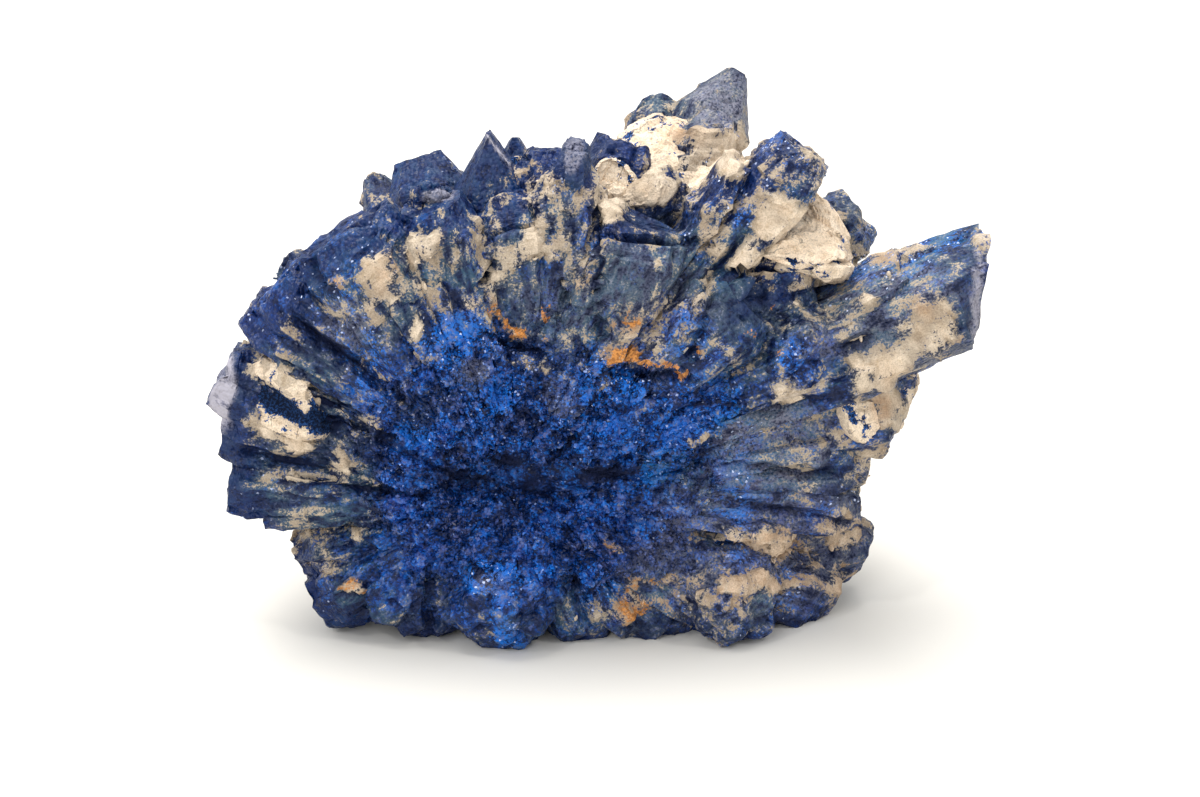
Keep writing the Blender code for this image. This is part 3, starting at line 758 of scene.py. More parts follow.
def skin_masks(points, normals, streak):
    """Masks from 0 to 1 at each point. The inner half of the fan is clean druse and the outer half dusty,
    clay fills shelter and lies in patches, and the hidden side gets its patches from noise."""
    seen = seen_share(points, normals)
    shelter = read_block(NEAR_SHARE, points + NEAR_AHEAD * normals)
    deep_shelter = read_block(FAR_SHARE, points + FAR_AHEAD * normals)
    tucked = ramp(shelter, 0.40, 0.75)
    drift = rough_swells(points, 4.5, 11, 4)
    wander = 0.75 * rough_swells(points, 1.6, 91, 4) + 0.45 * streak + 0.6 * rough_swells(points, 0.7, 99, 3)

    # Dust lies on the outer half of the fan and on the rear, but the very rim is rubbed clean.
    share = fan_share(points)
    rear = ramp(points[..., 1], -3.0, 3.0)
    dusty = np.maximum(ramp(share + 0.14 * swells(points, 3.0, 17), 0.36, 0.66), rear)
    dusty = dusty * (1 - 0.8 * seen * patch_amount(points, CLEAN_PATCHES, wander))
    rim = ramp(share, 0.86, 0.97) * (1 - rear)
    # Painted shade: the seen rear row, left of the middle, is darkened with the rim mask though it has no
    # rim.
    rim = np.maximum(rim, 0.55 * seen * rear * (1 - ramp(points[..., 0], 0.0, 4.0)))
    rim = rim * (1 - 0.8 * ramp(points[..., 0], 8.0, 14.0))

    # Clay in patches on the seen side, from noise and shelter behind, and thin wherever there is dust.
    behind = ramp(drift + 0.9 * (deep_shelter - 0.45), 0.05, 0.6) * 0.95
    clay = 0.80 * seen * patch_amount(points, CLAY_PATCHES, wander) + (1 - seen) * behind
    loose = 0.15 + dusty * (0.20 + 0.18 * tucked + 0.16 * drift + 0.05 * np.clip(normals[..., 2], 0, 1))
    loose = loose + 0.20 * streak * dusty - 0.14 * rim
    clay = np.maximum(clay, loose)
    clay = clay + 0.30 * ramp(clay, 0.15, 0.45) * rough_swells(points, 0.9, 97, 4)

    # Rust, teal and slate in patches and from noise. Clay holds less well on smooth slate.
    around_clay = seen * patch_amount(points, RUST_PATCHES, wander)
    seeped = (0.35 + 0.5 * (1 - seen)) * ramp(swells(points, 2.4, 23), 0.45, 0.9) * dusty
    rust = np.maximum(around_clay, seeped)
    teal = seen * patch_amount(points, TEAL_PATCHES, wander)
    teal = np.maximum(teal, 0.9 * ramp(swells(points, 3.5, 29), -0.1, 0.5) * dusty * (1 - 0.5 * rim))
    slate = seen * patch_amount(points, SLATE_PATCHES, 0.4 * wander, CRISP_EDGE)
    clay = clay * (1 - 0.5 * slate)
    slate = np.maximum(slate, dusty * (0.60 + 0.6 * swells(points, 2.6, 31)) * (1 - 0.7 * rim) + 0.45 * rear)

    # Bright druse, partly painted light; painted shade in the deepest shelter, the pit and the grooves, where
    # less clay lies; and pale patches, partly painted sheen.
    # Brightness is partly the druse's own and partly painted light: it raises glints and lightens clay.
    bright = seen * patch_amount(points, BRIGHT_AND_LIT_PATCHES, wander)
    bright = np.maximum(bright, ramp(swells(points, 2.8, 37), 0.15, 0.8) * (1 - 0.3 * dusty))
    pit = seen * patch_amount(points, PIT_SHADE_PATCHES, 0.5 * wander)
    groove = seen * patch_amount(points, GROOVE_PATCHES, 0.5 * wander)
    # Painted shade: the hollow mask darkens deep shelter, the pit and the grooves.
    hollow = np.maximum(np.maximum(ramp(deep_shelter, 0.62, 0.86), pit), groove)
    clay = clay * (1 - 0.8 * pit) * (1 - 0.7 * groove)
    pale = seen * patch_amount(points, PALE_AND_SHEEN_PATCHES, 0.4 * wander, CRISP_EDGE)
    slate = np.clip(slate, 0, 1)
    return Masks(clay, rust, teal, slate, bright, hollow, 0.5 + 0.5 * streak, rim, pale, groove)


# Relief of the azurite: growth steps along each blade, chipped edges and grains of druse, and a crust of
# clay where it clings. Heights are in millimetres along the surface's own normal.

SWELL_HEIGHT, SWELL_SIZE = 0.16, 3.2
GROWTH_LONG, GROWTH_WIDE = 7.0, 1.1
STEP_HEIGHT, STEPS = 0.34, 3
FISSURE_DEPTH = 0.5
CHIP_HEIGHT, CHIP_SIZE = 0.12, 1.3
GRAIN_HEIGHT, GRAIN_SIZE = 0.06, 0.4
KNOB_HEIGHT, KNOB_SIZE, KNOB_UNEVEN = 0.75, 1.6, 0.25
CRUST_HEIGHT, CRUST_ROUGH = 0.24, 0.16
CRUST_CHUNK, CRUST_CHUNK_SIZE = 0.28, 1.6
GROOVE_DEPTH = 0.8


def growth_lines(points, axes, number):
    """Noise from -1 to 1 drawn out along a blade, six times as long as it is wide, and its hairline fissures:
    1 where a second such noise crosses nought."""
    _, along, across, deep = axes
    offset = points - ROOT
    stretched = (offset @ along / GROWTH_LONG, offset @ across / GROWTH_WIDE, offset @ deep / GROWTH_WIDE)
    stretched = np.stack(stretched, axis=-1)
    lines = rough_swells(stretched, 1.0, 300 + number, 3)
    fissures = 1 - ramp(np.abs(swells(stretched * (0.8, 0.7, 0.7), 1.0, 400 + number)), 0.0, 0.10)
    return np.clip(lines, -1, 1), fissures


def stepped(lines):
    """Growth steps in mm: the lines rounded to a few levels."""
    return np.round(lines * STEPS) / STEPS * STEP_HEIGHT


def chips_and_grains(points):
    """Broken facets and small grains: each scattered cell stands at its own height, and domes a little."""
    gap, number = cells(points + 0.25 * swells(points, 0.8, 61)[..., None], CHIP_SIZE, 71)
    chips = (number - 0.5) * CHIP_HEIGHT * (1 - gap * 0.5)
    gap, number = cells(points, GRAIN_SIZE, 83)
    return chips + (0.5 - gap + 0.7 * (number - 0.5)) * GRAIN_HEIGHT


def crusted(height, points, clay):
    """Height with clay on it: where the clay is thick the relief is buried under a lumpy, broken crust."""
    cover = ramp(clay, 0.45, 0.60)
    _, number = cells(points + 0.5 * swells(points, 1.1, 67)[..., None], CRUST_CHUNK_SIZE, 107)
    crust = CRUST_HEIGHT + CRUST_ROUGH * rough_swells(points, 1.0, 103, 4) + CRUST_CHUNK * (number - 0.5)
    return height * (1 - 0.6 * cover) + crust * cover


Grid = namedtuple("Grid", "points normals masks lay")


def relieved(points, lines, fissures, dome, share, lay):
    """The grid with its points moved along their normals by a share of the relief, and with the masks read at
    each point. `dome` is the share of round grains that stand on it, and `lay` is each point's place measured
    along the growth, which the finish reads."""
    normals = grid_normals(points)
    masks = skin_masks(points, normals, lines)
    height = SWELL_HEIGHT * rough_swells(points, SWELL_SIZE, 5, 3) + chips_and_grains(points)
    height = share * (height + stepped(lines) - FISSURE_DEPTH * fissures)
    gap, number = cells(points, KNOB_SIZE, 113)
    height = height + dome * ((0.5 - gap) * KNOB_HEIGHT + (number - 0.5) * KNOB_UNEVEN)
    height = crusted(height, points, masks.clay) - GROOVE_DEPTH * masks.groove
    # Painted shade in the crevices between round grains, added to the hollow mask.
    crevice_shade = 0.7 * np.clip(dome, 0, 1) * ramp(gap, 0.62, 0.95)
    masks = masks._replace(hollow=np.maximum(masks.hollow, crevice_shade))
    return Grid(raised(points, height, normals), normals, masks, lay)


def raised(points, height, normals):
    """Points moved along their normals by the height, and none of them under the floor."""
    moved = points + height[..., None] * normals
    moved[..., 2] = np.maximum(moved[..., 2], 0.0)
    return moved


# The masks go to the finish in three sets. Hollow is painted shade, bright is partly painted light, pale is
# partly painted sheen, and rim is painted shade on the rear row.
MASK_SETS = {
    "cover": ("clay", "rust", "hollow"),
    "tint": ("teal", "slate", "bright"),
    "grow": ("streak", "rim", "pale"),
}


def masked_mesh(name, places, corners, counts, masks, lay, smooth=False):
    """A mesh from places in millimetres, its faces' corners in one row, and each face's count of corners. The
    masks become three colour attributes, and the lay becomes a vector."""
    mesh = bpy.data.meshes.new(name)
    mesh.vertices.add(len(places))
    mesh.vertices.foreach_set("co", (places / 1000).astype(np.float32).ravel())
    mesh.loops.add(len(corners))
    mesh.loops.foreach_set("vertex_index", corners.astype(np.int32))
    mesh.polygons.add(len(counts))
    starts = np.concatenate(([0], np.cumsum(counts)[:-1]))
    mesh.polygons.foreach_set("loop_start", starts.astype(np.int32))
    mesh.update(calc_edges=True)
    for title, names in MASK_SETS.items():
        channels = [getattr(masks, mask) for mask in names] + [np.ones(len(places))]
        layer = mesh.attributes.new(title, "FLOAT_COLOR", "POINT")
        layer.data.foreach_set("color", np.stack(channels, axis=-1).astype(np.float32).ravel())
    layer = mesh.attributes.new("lay", "FLOAT_VECTOR", "POINT")
    layer.data.foreach_set("vector", lay.astype(np.float32).ravel())
    mesh.polygons.foreach_set("use_smooth", np.full(len(counts), smooth))
    return mesh


def with_ends(values):
    """A grid's values in one list, and after them the means of its first row and of its last row."""
    flat = values.reshape(-1, values.shape[-1])
    return np.concatenate((flat, values[0].mean(axis=0)[None], values[-1].mean(axis=0)[None]))


def grid_mesh(name, grids):
    """One mesh from closed grids. Four-sided faces join the rows, fans close the ends round a middle point,
    and a grid whose volume comes out negative has its faces turned round."""
    places, masks, lays, corners, counts = [], [], [], [], []
    start = 0
    for grid in grids:
        rows, around, _ = grid.points.shape
        index = np.arange(rows * around).reshape(rows, around)
        beside = np.roll(index, -1, axis=1)
        quads = np.stack((index[:-1], beside[:-1], beside[1:], index[1:]), axis=-1).reshape(-1, 4)
        first, last = rows * around, rows * around + 1
        head = np.stack((np.full(around, first), beside[0], index[0]), axis=-1)
        tail = np.stack((np.full(around, last), index[-1], beside[-1]), axis=-1)
        flat = with_ends(grid.points)
        middle = flat.mean(axis=0)
        a, b, c = (flat[quads[:, k]] - middle for k in (0, 1, 2))
        if np.sum(a * np.cross(b, c)) < 0:
            quads, head, tail = quads[:, ::-1], head[:, ::-1], tail[:, ::-1]
        places.append(flat)
        masks.append(with_ends(np.stack(grid.masks, axis=-1)))
        lays.append(with_ends(grid.lay))
        corners += [(faces + start).ravel() for faces in (quads, head, tail)]
        counts += [np.full(len(quads), 4), np.full(len(head) + len(tail), 3)]
        start += len(flat)
    places, masks, lays, corners, counts = map(np.concatenate, (places, masks, lays, corners, counts))
    mesh = masked_mesh(name, places, corners, counts, Masks(*masks.T), lays)
    mesh.validate()
    return mesh


def put_piece(name, mesh, material, nodes):
    """Adds the mesh to the scene at the origin, in its material, riding on the model's one body."""
    mesh.materials.append(material)
    piece = bpy.data.objects.new(name, mesh)
    bpy.context.scene.collection.objects.link(piece)
    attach(piece, "root")
    if nodes:
        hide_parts(*nodes)


# Finish of the azurite: deep blue glassy grains, brighter on fresh facets, dulled by grey dust, with tan
# clay rubbed into it and rust where iron seeped in. Patterns are in millimetres of the piece itself.

DEEP_BLUE = (0.0008, 0.009, 0.052, 1)
ROYAL_BLUE = (0.003, 0.050, 0.27, 1)
BRIGHT_BLUE = (0.006, 0.15, 0.60, 1)
VIOLET_BLUE = (0.014, 0.018, 0.16, 1)
SLATE_GREY = (0.045, 0.072, 0.105, 1)
TEAL_BLUE = (0.006, 0.095, 0.17, 1)
LILAC_DUST = (0.20, 0.225, 0.32, 1)
NAVY_EDGE = (0.003, 0.016, 0.086, 1)
# Painted shade: the near-black blue of hollows, pits and small pockets.
SHADE_DARK = (0.0003, 0.0035, 0.024, 1)
LILAC_FLAKE = (0.11, 0.115, 0.24, 1)
# Pale lilac for pale patches, and for painted sheen and highlights.
LILAC_PALE_AND_SHEEN = (0.35, 0.335, 0.39, 1)
# Painted glint: a white fleck on single grains, in place of light caught by a facet.
GLINT_WHITE = (0.62, 0.70, 0.95, 1)
DUST_FILM = (0.235, 0.235, 0.205, 1)
CLAY_TAN = (0.60, 0.475, 0.35, 1)
CLAY_PALE = (0.77, 0.64, 0.495, 1)
CLAY_DARK = (0.40, 0.285, 0.165, 1)
RUST_ORANGE = (0.60, 0.25, 0.065, 1)
RUST_BROWN = (0.30, 0.12, 0.035, 1)


def add_node(tree, kind, at=(0, 0), links=None, **settings):
    """A node with its settings and its inputs: an input is another node's socket, or a plain value."""
    node = tree.nodes.new(kind)
    node.location = (at[0] * 190, -at[1] * 170)
    for name, value in settings.items():
        setattr(node, name, value)
    for key, value in (links or {}).items():
        socket = node.inputs[key]
        if isinstance(value, bpy.types.NodeSocket):
            tree.links.new(value, socket)
        else:
            socket.default_value = value
    return node


def math_node(tree, operation, first, second=0.5, third=0.5, at=(0, 0)):
    """The result of one sum on sockets or plain numbers."""
    node = add_node(tree, "ShaderNodeMath", at, {0: first, 1: second, 2: third}, operation=operation)
    return node.outputs[0]


def times(tree, first, second, at=(0, 0)):
    """The first multiplied by the second."""
    return math_node(tree, "MULTIPLY", first, second, at=at)


def weighted(tree, value, weight, base, at=(0, 0)):
    """The value times its weight, added to the base."""
    return math_node(tree, "MULTIPLY_ADD", value, weight, base, at)


def swung(tree, noise, weight, base, at=(0, 0)):
    """The base moved up or down by a noise: what the noise has over a half, times a weight."""
    over = math_node(tree, "SUBTRACT", noise, 0.5, at=(at[0] - 1, at[1]))
    return weighted(tree, over, weight, base, at)


def vector_node(tree, operation, at, links):
    """The result of one sum on colours, places or directions."""
    return add_node(tree, "ShaderNodeVectorMath", at, links, operation=operation).outputs[0]


def step_node(tree, value, low, high, at=(0, 0)):
    """0 below low and 1 above high, smooth between."""
    links = {"Value": value, "From Min": low, "From Max": high}
    return add_node(tree, "ShaderNodeMapRange", at, links, interpolation_type="SMOOTHSTEP").outputs["Result"]


def blend_node(tree, share, first, second, at=(0, 0), kind="RGBA"):
    """Between two colours, or two directions where the kind is VECTOR, by a share from 0 to 1."""
    node = add_node(tree, "ShaderNodeMix", at, {"Factor": share}, data_type=kind)
    a, b = [found for found in node.inputs if found.name in ("A", "B") and found.type == kind]
    for socket, value in ((a, first), (b, second)):
        if isinstance(value, bpy.types.NodeSocket):
            tree.links.new(value, socket)
        else:
            socket.default_value = value
    return next(found for found in node.outputs if found.type == kind)


def noise_node(tree, place, scale, detail=3.0, rough=0.55, at=(0, 0)):
    """Cloudy noise from 0 to 1, with `scale` swells to the unit of its place."""
    links = {"Vector": place, "Scale": scale, "Detail": detail, "Roughness": rough}
    return add_node(tree, "ShaderNodeTexNoise", at, links).outputs["Fac"]


def millimetres(tree, at=(0, 0)):
    """Place on the piece in millimetres."""
    place = add_node(tree, "ShaderNodeTexCoord", at).outputs["Object"]
    return vector_node(tree, "SCALE", (at[0] + 1, at[1]), {0: place, "Scale": 1000.0})


def facet_group():
    """Group for grains of crystal: a random shade for each grain, and a normal tilted its own way on each."""
    group = bpy.data.node_groups.new("crystal_grains", "ShaderNodeTree")
    for name, value in (("Grains per mm", 4.5), ("Tilt", 0.5)):
        socket = group.interface.new_socket(name, in_out="INPUT", socket_type="NodeSocketFloat")
        socket.default_value = value
    group.interface.new_socket("Shade", in_out="OUTPUT", socket_type="NodeSocketFloat")
    group.interface.new_socket("Height", in_out="OUTPUT", socket_type="NodeSocketFloat")
    group.interface.new_socket("Normal", in_out="OUTPUT", socket_type="NodeSocketVector")
    inside = add_node(group, "NodeGroupInput", (-5, 0))
    outside = add_node(group, "NodeGroupOutput", (4, 0))
    place = millimetres(group, (-5, 1))
    links = {"Vector": place, "Scale": inside.outputs["Grains per mm"], "Randomness": 1.0}
    grain = add_node(group, "ShaderNodeTexVoronoi", (-3, 1), links, feature="F1")
    split = add_node(group, "ShaderNodeSeparateColor", (-2, 1), {0: grain.outputs["Color"]})
    group.links.new(split.outputs[0], outside.inputs["Shade"])
    height = math_node(group, "SUBTRACT", 1.0, grain.outputs["Distance"], at=(-1, 2))
    group.links.new(height, outside.inputs["Height"])
    centred = vector_node(group, "SUBTRACT", (-2, 3), {0: grain.outputs["Color"], 1: (0.5, 0.5, 0.5)})
    lean = vector_node(group, "SCALE", (-1, 3), {0: centred, "Scale": inside.outputs["Tilt"]})
    face = add_node(group, "ShaderNodeNewGeometry", (-1, 4)).outputs["Normal"]
    total = vector_node(group, "ADD", (0, 3), {0: face, 1: lean})
    group.links.new(vector_node(group, "NORMALIZE", (1, 3), {0: total}), outside.inputs["Normal"])
    return group


def clay_group():
    """Group for dried clay: tan mottled with pale and dark patches, rust where asked, and fine grit."""
    group = bpy.data.node_groups.new("dried_clay", "ShaderNodeTree")
    group.interface.new_socket("Rust", in_out="INPUT", socket_type="NodeSocketFloat").default_value = 0.0
    group.interface.new_socket("Colour", in_out="OUTPUT", socket_type="NodeSocketColor")
    group.interface.new_socket("Height", in_out="OUTPUT", socket_type="NodeSocketFloat")
    inside = add_node(group, "NodeGroupInput", (-6, 0))
    outside = add_node(group, "NodeGroupOutput", (7, 0))
    place = millimetres(group, (-6, 2))
    broad = noise_node(group, place, 0.5, 2.0, 0.6, (-4, 1))
    middle = noise_node(group, place, 2.2, 3.0, 0.7, (-4, 2))
    grit = noise_node(group, place, 10.0, 2.0, 0.7, (-4, 3))
    light = step_node(group, broad, 0.32, 0.58, (-3, 1))
    colour = blend_node(group, light, CLAY_TAN, CLAY_PALE, (-2, 1))
    shade = times(group, step_node(group, middle, 0.50, 0.72, (-3, 2)), 0.5, (-2, 2))
    colour = blend_node(group, shade, colour, CLAY_DARK, (-1, 1))
    colour = blend_node(group, inside.outputs["Rust"], colour, RUST_ORANGE, (0, 1))
    grain = weighted(group, step_node(group, grit, 0.34, 0.62, (-3, 3)), 0.30, 0.82, (-1, 3))
    colour = vector_node(group, "SCALE", (1, 1), {0: colour, "Scale": grain})
    group.links.new(colour, outside.inputs["Colour"])
    height = weighted(group, middle, 0.7, times(group, grit, 0.3, (1, 3)), (2, 3))
    group.links.new(height, outside.inputs["Height"])
    return group


GRAINS = facet_group()
CLAY = clay_group()


def new_material(name):
    """A material with nothing in its node tree yet."""
    material = bpy.data.materials.new(name)
    material.use_nodes = True
    material.node_tree.nodes.clear()
    return material


def add_shader(tree, links):
    """The material's one shader with its inputs, joined to the output."""
    shader = add_node(tree, "ShaderNodeBsdfPrincipled", (5, 0), links)
    add_node(tree, "ShaderNodeOutputMaterial", (7, 0), {"Surface": shader.outputs[0]})


def mask_sockets(tree, *titles):
    """The masks that the mesh keeps in the colour attributes of these titles, by name."""
    found = {}
    for row, title in enumerate(titles):
        layer = add_node(tree, "ShaderNodeAttribute", (-12, 3 + row), attribute_name=title).outputs["Color"]
        parts = add_node(tree, "ShaderNodeSeparateColor", (-11, 3 + row), {0: layer}).outputs
        found.update(zip(MASK_SETS[title], parts))
    return SimpleNamespace(**found)


def azurite_noises(tree):
    """Grains of two sizes, and three noises: broad swells, patches drawn out along the growth, and specks."""
    place = millimetres(tree, (-12, 0))
    links = {"Grains per mm": 3.6, "Tilt": 0.5}
    grains = add_node(tree, "ShaderNodeGroup", (-10, 0), links, node_tree=GRAINS).outputs
    links = {"Grains per mm": 8.5, "Tilt": 0.9}
    fine = add_node(tree, "ShaderNodeGroup", (-10, 1), links, node_tree=GRAINS).outputs
    lay = add_node(tree, "ShaderNodeAttribute", (-12, 7), attribute_name="lay").outputs["Vector"]
    broad = noise_node(tree, place, 0.40, 2.0, 0.6, (-10, 2))
    patch = noise_node(tree, lay, 1.3, 4.0, 0.65, (-10, 5))
    speck = noise_node(tree, place, 6.5, 2.0, 0.7, (-10, 6))
    return SimpleNamespace(grains=grains, fine=fine, broad=broad, patch=patch, speck=speck)


def crystal_blue(tree, skin, noise):
    """Colour of bare crystal: a shade from the grains, the growth and the masks runs from deep to royal to
    bright blue, and violet, lilac flakes, teal and slate lie over it. Also gives how dull the slate is."""
    mixed = times(tree, noise.fine["Shade"], 0.42, (-9, 1))
    mixed = weighted(tree, noise.grains["Shade"], 0.22, mixed, (-8, 0))
    # The rim term darkens the blue, and on the rear row that is painted shade.
    weights = ((skin.streak, 0.50), (skin.slate, -0.26), (skin.rim, -0.20), (skin.bright, 0.10))
    for row, (mask, weight) in enumerate(weights):
        mixed = weighted(tree, mask, weight, mixed, (-7, row))
    shade = swung(tree, noise.patch, 1.3, mixed, (-6, 1))
    shade = swung(tree, noise.broad, 1.0, shade, (-5, 1))
    blue = blend_node(tree, step_node(tree, shade, 0.36, 0.78, (-6, 0)), DEEP_BLUE, ROYAL_BLUE, (-5, 0))
    lively = weighted(tree, skin.bright, 0.26, shade, (-7, 2))
    blue = blend_node(tree, step_node(tree, lively, 0.70, 0.98, (-6, 2)), blue, BRIGHT_BLUE, (-4, 0))
    violet = weighted(tree, skin.slate, -0.30, 0.35, (-8, 2))
    violet = times(tree, step_node(tree, noise.broad, 0.52, 0.68, (-8, 3)), violet, (-7, 3))
    blue = blend_node(tree, violet, blue, VIOLET_BLUE, (-3, 0))
    flake = times(tree, step_node(tree, noise.grains["Shade"], 0.66, 0.86, (-4, 1)), 0.6, (-3, 1))
    flake = times(tree, flake, step_node(tree, noise.patch, 0.40, 0.60, (-4, 2)), (-3, 2))
    flake = times(tree, flake, weighted(tree, skin.rim, -0.6, 1.0, (-4, 3)), (-2, 2))
    blue = blend_node(tree, flake, blue, LILAC_FLAKE, (-2, 1))
    green = times(tree, skin.teal, step_node(tree, noise.patch, 0.42, 0.60, (-8, 5)), (-7, 5))
    blue = blend_node(tree, times(tree, green, 0.75, (-6, 5)), blue, TEAL_BLUE, (-2, 0))
    some = weighted(tree, step_node(tree, noise.patch, 0.38, 0.60, (-8, 4)), 0.8, 0.2, (-8, 3))
    dull = times(tree, skin.slate, some, (-7, 4))
    dull = times(tree, dull, step_node(tree, mixed, 0.86, 0.46, (-7, 6)), (-6, 4))
    blue = blend_node(tree, times(tree, dull, 0.75, (-5, 4)), blue, SLATE_GREY, (-1, 0))
    return blue, dull


def weathered_blue(tree, skin, noise, ragged, blue):
    """The blue with what is on it short of clay, in this order: lilac dust, navy edges, which are painted
    shade on the rear row, painted shade in dark pockets, pale patches with some painted sheen, a film of grey
    dust where the ragged clay mask begins, painted glints, and painted shade in the hollows."""
    dust = step_node(tree, noise.patch, 0.50, 0.68, (-8, 6))
    dust = times(tree, dust, step_node(tree, noise.speck, 0.50, 0.64, (-8, 7)), (-6, 6))
    dust = times(tree, dust, weighted(tree, skin.slate, 0.7, 0.25, (-6, 7)), (-5, 6))
    blue = blend_node(tree, dust, blue, LILAC_DUST, (0, 0))
    blue = blend_node(tree, times(tree, skin.rim, 0.6, (-3, 0)), blue, NAVY_EDGE, (-1, 3))
    low = swung(tree, noise.speck, 0.6, noise.patch, (-1, 6))
    # Painted shade in small pockets scattered by noise.
    pocket_shade = times(tree, step_node(tree, low, 0.43, 0.35, (0, 6)), 0.8, (1, 4))
    blue = blend_node(tree, pocket_shade, blue, SHADE_DARK, (1, 5))
    # Pale patches, partly painted sheen and highlights.
    solid = step_node(tree, noise.speck, 0.30, 0.60, (-4, 3))
    solid = math_node(tree, "MAXIMUM", solid, step_node(tree, skin.pale, 0.6, 0.9, (-4, 6)), at=(-3, 6))
    pale_and_sheen = times(tree, skin.pale, solid, (-3, 3))
    pale_and_sheen = times(tree, pale_and_sheen, step_node(tree, noise.patch, 0.30, 0.46, (-2, 2)), (-1, 2))
    blue = blend_node(tree, pale_and_sheen, blue, LILAC_PALE_AND_SHEEN, (0, 1))
    worn = weighted(tree, skin.rim, -0.36, 0.46, (-6, 8))
    film = times(tree, step_node(tree, ragged, 0.26, 0.58, (-6, 7)), worn, (-5, 7))
    dots = weighted(tree, step_node(tree, noise.speck, 0.46, 0.58, (-5, 6)), 1.2, 0.3, (-4, 7))
    blue = blend_node(tree, times(tree, film, dots, (-3, 7)), blue, DUST_FILM, (1, 0))
    # Painted glints on a few fine grains, most where the bright mask is high.
    painted_glint = step_node(tree, noise.fine["Shade"], 0.984, 0.988, (-4, 4))
    painted_glint = times(tree, painted_glint, weighted(tree, skin.bright, 0.9, 0.02, (-4, 5)), (-3, 4))
    blue = blend_node(tree, painted_glint, blue, GLINT_WHITE, (1, 1))
    # Painted shade in the hollows, with a few grains left blue.
    open_grain = step_node(tree, low, 0.48, 0.60, (-2, 0))
    open_grain = times(tree, open_grain, step_node(tree, skin.hollow, 0.92, 0.65, (-2, 1)), (-1, 0))
    hollow_shade = times(tree, skin.hollow, weighted(tree, open_grain, -0.5, 0.98, (0, 0)), (-1, 1))
    return blend_node(tree, hollow_shade, blue, SHADE_DARK, (1, 2))


def clay_over(tree, skin, noise, ragged, blue):
    """The blue under clay where the ragged clay mask is high, with rust seeping through both. Also gives the
    clay's cover and its height."""
    ragged = swung(tree, noise.speck, 0.75, ragged, (-6, 8))
    cover = step_node(tree, ragged, 0.46, 0.60, (-5, 8))
    stain = times(tree, skin.rust, step_node(tree, noise.patch, 0.36, 0.56, (-6, 10)), (-5, 10))
    links = {"Rust": times(tree, stain, 0.85, (-4, 10))}
    earth = add_node(tree, "ShaderNodeGroup", (-3, 10), links, node_tree=CLAY).outputs
    thin = weighted(tree, step_node(tree, skin.clay, 0.50, 1.0, (-3, 8)), 0.46, 0.50, (-2, 8))
    crust = vector_node(tree, "SCALE", (1, 8), {0: earth["Colour"], "Scale": thin})
    colour = blend_node(tree, cover, blue, crust, (2, 0))
    seep = step_node(tree, weighted(tree, noise.speck, 0.8, stain, (-5, 11)), 1.02, 1.14, (-2, 11))
    orange = step_node(tree, noise.fine["Shade"], 0.35, 0.65, (-1, 12))
    orange = blend_node(tree, orange, RUST_BROWN, RUST_ORANGE, (0, 11))
    colour = blend_node(tree, times(tree, seep, 0.85, (-1, 11)), colour, orange, (3, 0))
    return colour, cover, earth["Height"]


def azurite_normal(tree, noise, cover, clay_height):
    """Facets tilted grain by grain and raised a little on bare crystal, and the clay's own grit where it
    covers."""
    facets = vector_node(tree, "ADD", (-2, 5), {0: noise.grains["Normal"], 1: noise.fine["Normal"]})
    facets = vector_node(tree, "NORMALIZE", (-1, 5), {0: facets})
    bare = math_node(tree, "SUBTRACT", 1.0, cover, at=(-1, 9))
    links = {"Height": noise.grains["Height"], "Normal": facets, "Distance": 0.0002}
    links["Strength"] = times(tree, bare, 0.5, (0, 9))
    crystal = add_node(tree, "ShaderNodeBump", (1, 6), links).outputs["Normal"]
    plain = add_node(tree, "ShaderNodeNewGeometry", (-2, 7)).outputs["Normal"]
    links = {"Height": clay_height, "Normal": plain, "Strength": 0.8, "Distance": 0.00025}
    muddy = add_node(tree, "ShaderNodeBump", (1, 7), links).outputs["Normal"]
    return blend_node(tree, cover, crystal, muddy, (2, 6), "VECTOR")


def azurite_material():
    """Azurite: blue grains, glossy where bare and matt where dull, hollow or covered with clay."""
    material = new_material("azurite")
    tree = material.node_tree
    skin = mask_sockets(tree, *MASK_SETS)
    noise = azurite_noises(tree)
    blue, dull = crystal_blue(tree, skin, noise)
    ragged = swung(tree, noise.patch, 1.5, skin.clay, (-7, 8))
    blue = weathered_blue(tree, skin, noise, ragged, blue)
    colour, cover, clay_height = clay_over(tree, skin, noise, ragged, blue)
    rough = weighted(tree, noise.grains["Shade"], 0.30, 0.24, (-2, 3))
    for column, (mask, weight) in enumerate(((dull, 0.25), (cover, 0.6), (skin.hollow, 0.4))):
        rough = weighted(tree, mask, weight, rough, (column - 1, 3))
    rough = math_node(tree, "MINIMUM", rough, 0.95, at=(2, 3))
    normal = azurite_normal(tree, noise, cover, clay_height)
    links = {"Base Color": colour, "Roughness": rough, "Normal": normal}
    add_shader(tree, links | {"Specular IOR Level": 0.16, "IOR": 1.6})
    return material


AZURITE = azurite_material()
CLUSTER = ("azurite_cluster",)


LAY_STRETCH, LAY_SHIFT = 2.0, 5.3
FAN_START, FAN_RELIEF = 0.42, 0.75
ROW_START, BACK_START = 0.45, 0.4
BLADE_DETAIL = {"fan": (44, 70), "row": (34, 48), "back": (32, 38), "beside": (24, 34)}


def blade_grid(blade, number, around, along_rows, start_share, share=1.0):
    """A blade's grid with a share of the relief, its masks and its growth steps. Its lay is its place along,
    across and deep, drawn out along it and shifted from blade to blade."""
    points = blade_points(blade, number, around, along_rows, start_share)
    _, along, across, deep = blade_axes(blade)
    offset = points - ROOT
    lay = np.stack((offset @ along / LAY_STRETCH, offset @ across, offset @ deep), axis=-1)
    lines, fissures = growth_lines(points, blade_axes(blade), number)
    return relieved(points, lines, fissures, 0.0, share, lay + LAY_SHIFT * number)


ALL_GRIDS = []

